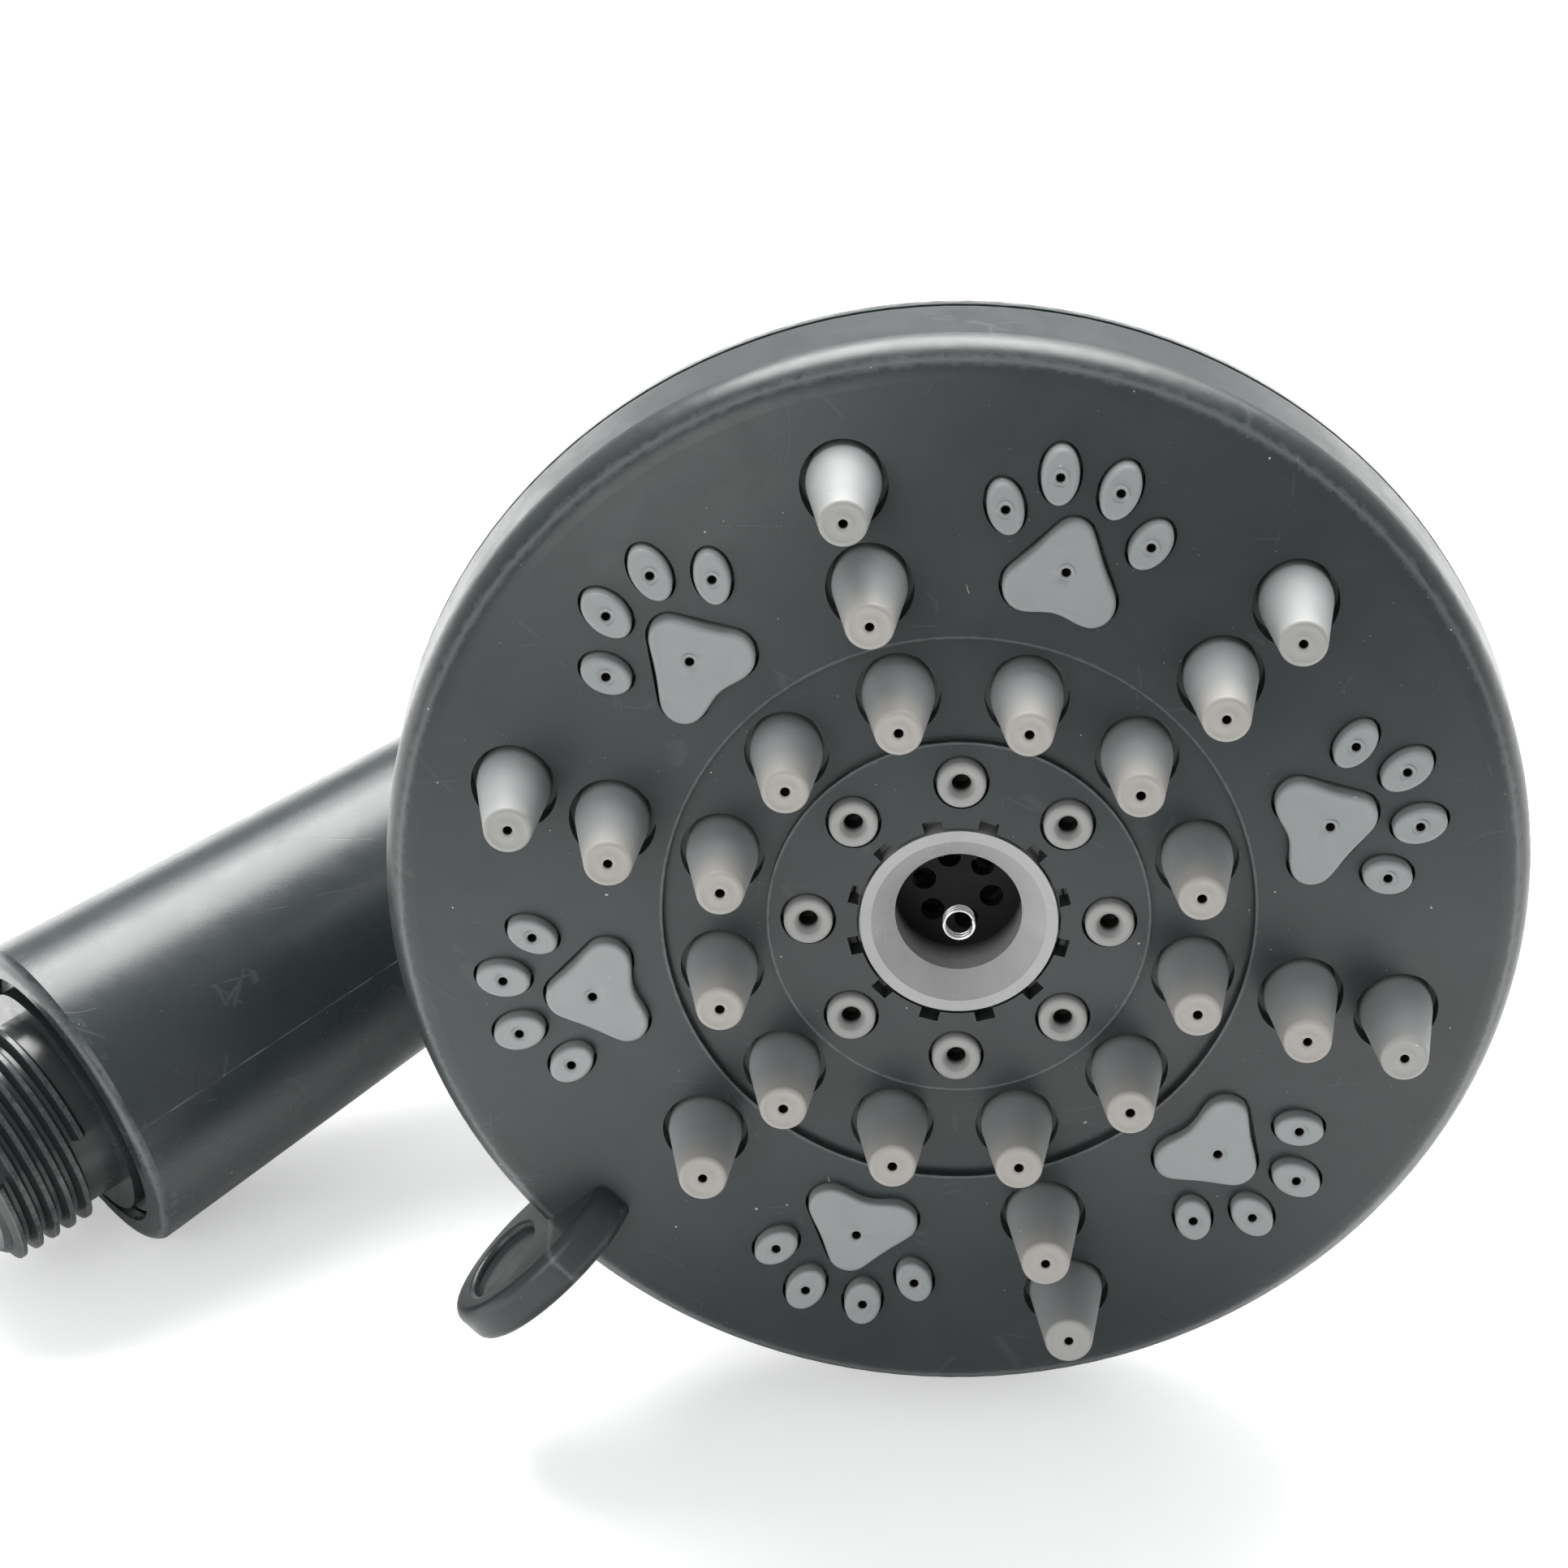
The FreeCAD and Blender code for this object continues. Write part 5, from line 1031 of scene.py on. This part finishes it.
def smooth_pad_outline(apex: float, apex_round: float, lobe_back: float, lobe_side: float,
                       lobe_round: float, hollow: float
                       ) -> Callable[[float, int], list[tuple[float, float]]]:
    """A rounded three-cornered outline with one corner outwards and a hollow inner edge.

    Args:
        apex: middle to the outer corner's centre.
        apex_round: the outer corner's radius.
        lobe_back: middle back to the lobes' centres.
        lobe_side: middle sideways to the lobes' centres.
        lobe_round: the lobes' radius.
        hollow: how far the inner edge bows in.

    Returns:
        A function from an inset and a count to points.
    """
    corners = [((apex, 0.0), apex_round), ((-lobe_back, lobe_side), lobe_round),
               ((-lobe_back, -lobe_side), lobe_round)]

    def outline(inset: float, steps: int) -> list[tuple[float, float]]:
        """The pad's points, evenly spaced."""
        dense: list[tuple[float, float]] = []
        for k in range(3):
            (c0, r0), (c1, r1) = corners[k], corners[(k + 1) % 3]
            (cp, rp) = corners[k - 1]
            start = tangent_bearing(cp, rp, c0, r0)
            stop = tangent_bearing(c0, r0, c1, r1)
            while stop < start:
                stop += 2 * math.pi
            for j in range(25):
                a = start + (stop - start) * j / 24
                dense.append((c0[0] + (r0 - inset) * math.cos(a),
                              c0[1] + (r0 - inset) * math.sin(a)))
            a1 = tangent_bearing(c0, r0, c1, r1)
            p = (c0[0] + (r0 - inset) * math.cos(a1), c0[1] + (r0 - inset) * math.sin(a1))
            q = (c1[0] + (r1 - inset) * math.cos(a1), c1[1] + (r1 - inset) * math.sin(a1))
            bow = hollow if k == 1 else 0.2 * hollow
            for j in range(1, 24):
                t = j / 24
                sag = bow * math.sin(math.pi * t) ** 2
                dense.append((p[0] + (q[0] - p[0]) * t - sag * math.cos(a1),
                              p[1] + (q[1] - p[1]) * t - sag * math.sin(a1)))
        return evenly(dense, steps)
    return outline


def tangent_bearing(c0: tuple[float, float], r0: float, c1: tuple[float, float], r1: float
                    ) -> float:
    """Bearing of the outer tangent's normal between two circles taken anticlockwise."""
    dx, dy = c1[0] - c0[0], c1[1] - c0[1]
    return math.atan2(dy, dx) - math.acos((r0 - r1) / math.hypot(dx, dy))


def evenly(points: Sequence[tuple[float, float]], steps: int) -> list[tuple[float, float]]:
    """Spaces a closed line's points evenly, starting at its first point.

    Args:
        points: the closed line.
        steps: how many points are wanted.

    Returns:
        The new points.
    """
    lengths = [0.0]
    for p, q in zip(points, [*points[1:], points[0]]):
        lengths.append(lengths[-1] + math.dist(p, q))
    result, at = [], 0
    for i in range(steps):
        wanted = lengths[-1] * i / steps
        while lengths[at + 1] < wanted:
            at += 1
        gap = lengths[at + 1] - lengths[at] or 1.0
        t = (wanted - lengths[at]) / gap
        p, q = points[at], points[(at + 1) % len(points)]
        result.append((p[0] + (q[0] - p[0]) * t, p[1] + (q[1] - p[1]) * t))
    return result


def web_ring(name: str, inner: float, outer: float, centre: Vector, top: float = 2.4 * MM,
             thick: float = 1.4 * MM) -> bpy.types.Object:
    """The domed web of a soft mat under the face plate.

    Args:
        name: the object's name.
        inner: its inner radius.
        outer: its outer radius.
        centre: the head frame's origin.
        top: depth of its upper side under the face.
        thick: its thickness.

    Returns:
        The web.
    """
    build = bmesh.new()
    steps, spans = 128, 8
    radii = [inner + (outer - inner) * k / spans for k in range(spans + 1)]
    upper = [(r, dome(r, top)) for r in radii]
    lower = [(r, dome(r, top + thick)) for r in reversed(radii)]
    loop = upper + lower + upper[:1]
    skin_rings(build, [[(x + centre.x, y + centre.y, z + centre.z)
                        for x, y, z in circle_ring(r, h, steps)] for r, h in loop],
               closed_ends=False)
    return to_object(name, build)


@dataclass(frozen=True)
class Toe:
    """One toe of a paw, in millimetres and degrees; its twin is mirrored across the paw."""

    along: float
    side: float
    half_long: float
    half_wide: float
    turn: float


@dataclass
class NozzleMats:
    """The three soft mats: inner short nozzles, middle cones, outer cones and paws."""

    centre: Vector
    lever: float
    finish: bpy.types.Material
    low_finish: bpy.types.Material
    inner_count: int = 8
    inner_ring: float = 13.2 * MM
    middle_count: int = 12
    middle_ring: float = 21.5 * MM
    count: int = 6
    near: float = 31.5 * MM
    far: float = 40.5 * MM
    paw: float = 33.4 * MM
    cone_foot: float = 3.3 * MM
    cone_end: float = 2.15 * MM
    cone_bore: float = 0.4 * MM
    toes: tuple[Toe, ...] = (Toe(41.0, 2.69, 2.45, 1.65, 10.0), Toe(37.2, 6.49, 2.28, 1.58, 30.0))
    paw_height: float = 1.18 * MM

    def inner(self, layout: FaceLayout) -> bpy.types.Object:
        """The inner mat with its eight short nozzles."""
        nozzle = ShortNozzle("short_nozzle", 2.15 * MM, 1.07 * MM, 0.85 * MM,
                             self.inner_ring).make()
        web = web_ring("inner_web", 9.45 * MM, 17.0 * MM, self.centre)
        return layout.build("inner_jets", web, [
            RoundTheFace("Short Nozzles", nozzle, self.inner_count, self.lever,
                         360.0 / self.inner_count, self.inner_ring)],
            self.low_finish)

    def middle(self, layout: FaceLayout) -> bpy.types.Object:
        """The middle mat with its twelve cones."""
        cone = LongCone("middle_cone", 3.15 * MM, 2.1 * MM, 7.3 * MM, 0.42 * MM,
                        self.middle_ring).make()
        web = web_ring("middle_web", 17.4 * MM, 26.4 * MM, self.centre)
        return layout.build("middle_jets", web, [
            RoundTheFace("Cones", cone, self.middle_count, self.lever,
                         360.0 / self.middle_count, self.middle_ring)], self.finish)

    def outer(self, layout: FaceLayout) -> bpy.types.Object:
        """The outer mat with its eleven cones and six paws."""
        step = 360.0 / self.count
        near = LongCone("near_cone", self.cone_foot, self.cone_end, 7.1 * MM, self.cone_bore,
                        self.near).make()
        far = LongCone("far_cone", self.cone_foot, self.cone_end, 5.5 * MM, self.cone_bore,
                       self.far, bore_depth=2.5 * MM).make()
        pad = CrownedPatch("pad", smooth_pad_outline(2.4 * MM, 1.9 * MM, 2.2 * MM, 2.95 * MM,
                                                     2.05 * MM, 0.5 * MM),
                           self.paw, self.paw_height, steps=96).make()
        rings = [
            RoundTheFace("Near Cones", near, self.count, self.lever, step, self.near),
            RoundTheFace("Far Cones", far, self.count - 1, self.lever + step, step, self.far),
            RoundTheFace("Pads", pad, self.count, self.lever + step / 2, step, self.paw)]
        twins = ((toe, hand) for toe in self.toes for hand in (1.0, -1.0))
        for k, (toe, hand) in enumerate(twins):
            side, turn = toe.side * hand, toe.turn * hand
            patch = CrownedPatch(f"toe_{k}", toe_outline(toe.half_long * MM, toe.half_wide * MM),
                                 math.hypot(toe.along, side) * MM, self.paw_height, steps=56,
                                 twist=math.radians(turn) - math.atan2(side, toe.along)).make()
            rings.append(RoundTheFace(f"Toes {k}", patch, self.count, self.lever + step / 2, step,
                                      toe.along * MM, side * MM, turn))
        web = web_ring("outer_web", 26.8 * MM, 48.2 * MM, self.centre)
        return layout.build("outer_jets", web, rings, self.finish)

    def build(self) -> list[bpy.types.Object]:
        """Builds the three mats and puts them on the dial.

        Returns:
            The three finished pieces.
        """
        layout = FaceLayout(self.centre)
        made = [self.inner(layout), self.middle(layout), self.outer(layout)]
        for piece, node in zip(made, (mat.value for mat in SoftMat)):
            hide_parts(node)
            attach(piece, "dial")
        return made


def dress(node: str, finish: bpy.types.Material) -> bpy.types.Object:
    """Gives a carried-over CAD node its finish.

    Args:
        node: the node's name.
        finish: its material.

    Returns:
        The node's object.
    """
    found = frame["nodes"][node]
    for slot in found.material_slots:
        slot.material = finish
    return found


@dataclass
class SprayHead:
    """The dial cap, its centre ring and the plates that it holds."""

    centre: Vector
    effects: SurfaceEffects
    lever: float

    def build(self) -> list[bpy.types.Object]:
        """Dresses the cap and ring and builds the soft mats.

        Returns:
            Every visible piece of the head.
        """
        at = tuple(self.centre)
        up = (0.0, 0.0, 1.0)
        # Painted highlight lines on the cap: round its rim and along both edges of the shallow
        # channel.
        cap = MouldedPlastic("cap_satin", (0.021, 0.0255, 0.0255), (0.0255, 0.031, 0.031),
                             rough=0.35, rough_spread=0.045, dust=0.6, lint=1.0,
                             scratches=0.15,
                             highlight_bands=(PaintedHighlightBand(at, up, 49.6 * MM, 0.5 * MM),
                                    PaintedHighlightBand(at, up, 26.2 * MM, 0.16 * MM),
                                    PaintedHighlightBand(at, up, 16.75 * MM, 0.16 * MM))).make(self.effects)
        # Painted shade: the ring's bore darkens from 2.6 mm to 7.2 mm under the face.
        ring = MouldedPlastic("ring_gloss", (0.33, 0.33, 0.325), (0.37, 0.37, 0.365),
                              rough=0.24, rough_spread=0.05, grain_depth=0.002 * MM,
                              dust=0.12, lint=0.2, scratches=0.15,
                              painted_bore_shade=(self.centre.z - 7.2 * MM,
                                          self.centre.z - 2.6 * MM)).make(self.effects)
        soft = SoftSilicone("silicone_cones", (0.270, 0.282, 0.280), (0.345, 0.328, 0.305),
                            self.centre.z + 3.0 * MM,
                            self.centre.z + 7.4 * MM).make(self.effects)
        low = SoftSilicone("silicone_low", (0.285, 0.287, 0.280), (0.315, 0.312, 0.300),
                           self.centre.z, self.centre.z + 1.5 * MM).make(self.effects)
        made = [dress("dial_cap", cap), dress("centre_ring", ring)]
        made += NozzleMats(self.centre, self.lever, soft, low).build()
        return made


@dataclass
class SwanNeckHandle:
    """The handle shell with its back dome, neck and grip, and the hose end."""

    centre: Vector
    effects: SurfaceEffects
    thread_axis: Vector = field(default_factory=lambda: Vector((-0.851727, 0.0, 0.523986)))

    def build(self) -> list[bpy.types.Object]:
        """Dresses the shell and the hose inlet.

        Returns:
            Both objects.
        """
        axis = tuple(self.thread_axis)
        # Painted highlight line round the rim of the handle's end, by the hose thread.
        grip = MouldedPlastic("handle_satin", (0.020, 0.026, 0.026), (0.024, 0.030, 0.030),
                              rough=0.28, rough_spread=0.03, dust=0.3, lint=0.4,
                              scratches=0.2, highlight_bands=(PaintedHighlightBand((0.0, 0.0, 0.0), axis, 15.7 * MM,
                                                         0.4 * MM, (-15 * MM, -12 * MM)),),
                              parting_until=self.centre.x - 52 * MM).make(self.effects)
        # Painted highlight line along the crests of the hose thread.
        thread = MouldedPlastic("thread_gloss", (0.020, 0.023, 0.024), (0.026, 0.029, 0.030),
                                rough=0.24, rough_spread=0.05, grain_depth=0.002 * MM,
                                dust=0.12, lint=0.1,
                                highlight_bands=(PaintedHighlightBand((0.0, 0.0, 0.0), axis, 10.4 * MM, 0.12 * MM),)
                                ).make(self.effects)
        return [dress("handle_shell", grip), dress("hose_inlet", thread)]


@dataclass
class WaterWorks:
    """The plates, seals, screws and spring inside the head and the neck."""

    effects: SurfaceEffects

    def build(self) -> list[bpy.types.Object]:
        """Dresses every inner node.

        Returns:
            The dressed nodes.
        """
        white = MouldedPlastic("inner_white", (0.62, 0.62, 0.60), (0.68, 0.68, 0.66), rough=0.38,
                               dust=0.05, lint=0.1).make(self.effects)
        dark = MouldedPlastic("inner_dark", (0.020, 0.021, 0.022), (0.026, 0.027, 0.028),
                              rough=0.42).make(self.effects)
        # Painted shade: the jet core is made near black so that the bottom of the centre bore
        # looks shaded.
        deep = MouldedPlastic("core_painted_shade", (0.006, 0.006, 0.006), (0.009, 0.009, 0.009),
                              rough=0.6, specular=0.2).make(self.effects)
        rubber = SealRubber("seal_rubber").make(self.effects)
        steel = TurnedSteel("turned_steel").make(self.effects)
        groups = (
            (white, ("channel_plate", "valve_plate", "port_plate", "inlet_cover", "water_tube",
                     "detent_pin")),
            (deep, ("jet_core",)),
            (dark, ("flow_limiter",)),
            (rubber, ("chamber_gasket", "port_seal", "drum_gasket", "inlet_o_rings")),
            (steel, ("dial_screws", "port_plate_screws", "pivot_washer", "pivot_screw",
                     "detent_spring", "filter_screen")))
        return [dress(node, finish) for finish, nodes in groups for node in nodes]


# ---------------------------------------------------------------------------------------------
# Studio
# ---------------------------------------------------------------------------------------------


@dataclass
class Studio:
    """Pale floor, soft lights and the camera."""

    centre: Vector
    up: Vector = field(default_factory=lambda: Vector((0.374, 0.907, 0.193)).normalized())
    eye: Vector = field(default_factory=lambda: Vector((0.174412, 0.199300, 0.473688)))
    right: Vector = field(default_factory=lambda: Vector((0.92573, -0.37786, -0.01575)))
    top: Vector = field(default_factory=lambda: Vector((0.33963, 0.84895, -0.40489)))
    lens: float = 130.02
    floor_reaches: tuple[float, ...] = (0.05, 0.15, 0.4, 0.8, 1.3)
    floor_steps: int = 96
    fade: tuple[float, float] = (0.45, 1.25)

    def camera(self) -> None:
        """Makes the camera at the viewing angle of the portrait."""
        data = bpy.data.cameras.new("view")
        data.sensor_fit = "HORIZONTAL"
        data.sensor_width = 36.0
        data.lens = self.lens
        data.clip_start, data.clip_end = 0.01, 20.0
        made = bpy.data.objects.new("view", data)
        back = self.right.cross(self.top).normalized()
        turn = Matrix((self.right, self.top, back)).transposed().to_4x4()
        made.matrix_world = Matrix.Translation(self.eye) @ turn
        bpy.context.scene.collection.objects.link(made)
        bpy.context.scene.camera = made

    def lowest(self) -> float:
        """How far along the floor's normal the object's lowest point lies."""
        least = 1e9
        for made in bpy.context.scene.objects:
            if made.type == "MESH" and not made.hide_render:
                for vertex in made.data.vertices:
                    least = min(least, vertex.co.dot(self.up))
        return least

    def floor(self) -> None:
        """Makes the pale floor that the object rests on, faded out at its edge."""
        foot = self.centre + self.up * (self.lowest() - self.centre.dot(self.up) - 0.00005)
        build = bmesh.new()
        across = self.up.cross(Vector((0.0, 0.0, 1.0))).normalized()
        ahead = self.up.cross(across)
        rings = []
        steps = self.floor_steps
        for reach in self.floor_reaches:
            rings.append([tuple(foot + (across * math.cos(a) + ahead * math.sin(a)) * reach)
                          for a in (2 * math.pi * i / steps for i in range(steps))])
        rows = [[build.verts.new(p) for p in ring] for ring in rings]
        for low, high in zip(rows, rows[1:]):
            for i in range(steps):
                build.faces.new((low[i], low[(i + 1) % steps], high[(i + 1) % steps], high[i]))
        build.faces.new(rows[0])
        for face in build.faces:
            face.normal_update()
            if face.normal.dot(self.up) < 0:
                face.normal_flip()
        mesh = bpy.data.meshes.new("floor")
        build.to_mesh(mesh)
        build.free()
        made = bpy.data.objects.new("floor", mesh)
        bpy.context.scene.collection.objects.link(made)
        mesh.materials.append(self._paper(foot))

    def _paper(self, foot: Vector) -> bpy.types.Material:
        """White paper, seen from above only, that fades into the backdrop with distance.

        Its glow is for the eye alone, so it lifts the paper's tone and lights nothing.
        """
        made = bpy.data.materials.new("studio_paper")
        made.use_nodes = True
        made.node_tree.nodes.clear()
        wires = Wiring(made.node_tree)
        place = wires.node("ShaderNodeTexCoord").outputs["Object"]
        far = wires.vectors("DISTANCE", place, tuple(foot), "Value")
        tone = wires.between(wires.noise(place, 30.0, 4.0), 0.3, 0.7)
        paper = wires.node("ShaderNodeBsdfDiffuse")
        wires.feed(paper.inputs["Color"], wires.blend(tone, (0.86, 0.86, 0.855, 1.0),
                                                      (0.88, 0.88, 0.88, 1.0)))
        glow = wires.node("ShaderNodeEmission")
        glow.inputs["Color"].default_value = (1.0, 1.0, 1.0, 1.0)
        seen = wires.node("ShaderNodeLightPath").outputs["Is Camera Ray"]
        wires.feed(glow.inputs["Strength"], wires.maths("MULTIPLY", seen, 0.40))
        lifted = wires.node("ShaderNodeAddShader")
        wires.feed(lifted.inputs[0], paper.outputs[0])
        wires.feed(lifted.inputs[1], glow.outputs[0])
        clear = wires.node("ShaderNodeBsdfTransparent")
        faded = wires.between(far, *self.fade)
        below = wires.node("ShaderNodeNewGeometry").outputs["Backfacing"]
        mixed = wires.node("ShaderNodeMixShader")
        wires.feed(mixed.inputs[0], wires.maths("MAXIMUM", faded, below))
        wires.feed(mixed.inputs[1], lifted.outputs[0])
        wires.feed(mixed.inputs[2], clear.outputs[0])
        output = wires.node("ShaderNodeOutputMaterial")
        wires.feed(output.inputs["Surface"], mixed.outputs[0])
        return made

    def backdrop(self) -> None:
        """A bright even surround: white to the eye, softer as a light."""
        world = bpy.data.worlds.new("studio")
        bpy.context.scene.world = world
        world.use_nodes = True
        world.node_tree.nodes.clear()
        wires = Wiring(world.node_tree)
        seen = wires.node("ShaderNodeBackground")
        seen.inputs["Color"].default_value = (1.0, 1.0, 1.0, 1.0)
        seen.inputs["Strength"].default_value = 1.0
        lit = wires.node("ShaderNodeBackground")
        lit.inputs["Color"].default_value = (0.96, 0.98, 1.0, 1.0)
        lit.inputs["Strength"].default_value = 0.55
        path = wires.node("ShaderNodeLightPath").outputs["Is Camera Ray"]
        mixed = wires.node("ShaderNodeMixShader")
        wires.feed(mixed.inputs[0], path)
        wires.feed(mixed.inputs[1], lit.outputs[0])
        wires.feed(mixed.inputs[2], seen.outputs[0])
        output = wires.node("ShaderNodeOutputWorld")
        wires.feed(output.inputs["Surface"], mixed.outputs[0])

    def softbox(self, name: str, offset: Vector, width: float, height: float, power: float
                ) -> None:
        """Makes a soft light that looks at the head.

        Args:
            name: its name.
            offset: its place from the head's centre.
            width: its width.
            height: its height.
            power: its power in watts.
        """
        data = bpy.data.lights.new(name, "AREA")
        data.shape = "RECTANGLE"
        data.size, data.size_y = width, height
        data.energy = power
        made = bpy.data.objects.new(name, data)
        made.location = self.centre + offset
        made.rotation_mode = "QUATERNION"
        made.rotation_quaternion = (-offset).to_track_quat("-Z", "Y")
        bpy.context.scene.collection.objects.link(made)

    def build(self) -> None:
        """Makes the whole studio; the object's pieces are already in place."""
        self.camera()
        self.backdrop()
        self.floor()
        back = self.right.cross(self.top).normalized()
        ahead = (back - self.up * back.dot(self.up)).normalized()
        side = self.up.cross(ahead).normalized()
        self.softbox("key", self.up * 0.86 - ahead * 0.58 - side * 0.05, 1.1, 0.55, 24.0)
        self.softbox("rear", self.up * 0.62 - ahead * 0.92 + side * 0.1, 1.3, 0.4, 8.0)
        self.softbox("fill", self.up * 0.5 + ahead * 0.9 - side * 0.5, 0.7, 0.7, 4.5)
        bpy.context.scene.view_settings.view_transform = "Standard"


# ---------------------------------------------------------------------------------------------
# The whole sprayer
# ---------------------------------------------------------------------------------------------


def dial_joint() -> dict[str, Any]:
    """The record's joint between the handle and the dial."""
    joints = frame["record"]["behaviour"]["joints"]
    return next(joint for joint in joints if joint["name"] == "dial_turn")


def corners(box: tuple[Vector, Vector]) -> list[list[float]]:
    """A box as plain lists of numbers."""
    return [list(corner) for corner in box]


def main() -> None:
    """Builds the sprayer's looks, piece by piece, and the studio round it."""
    logging.basicConfig(level=logging.INFO, format="%(name)s: %(message)s")
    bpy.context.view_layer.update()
    centre = Vector(dial_joint()["pos_m"])
    effects = SurfaceEffects()
    head = SprayHead(centre, effects, 202.5)
    handle = SwanNeckHandle(centre, effects)
    works = WaterWorks(effects)
    for assembly in (head, handle, works):
        for piece in assembly.build():
            LOG.info("%s: %s, %d faces", type(assembly).__name__, piece.name,
                     len(piece.data.polygons))
    Studio(centre).build()


if __name__ == "__main__":
    main()
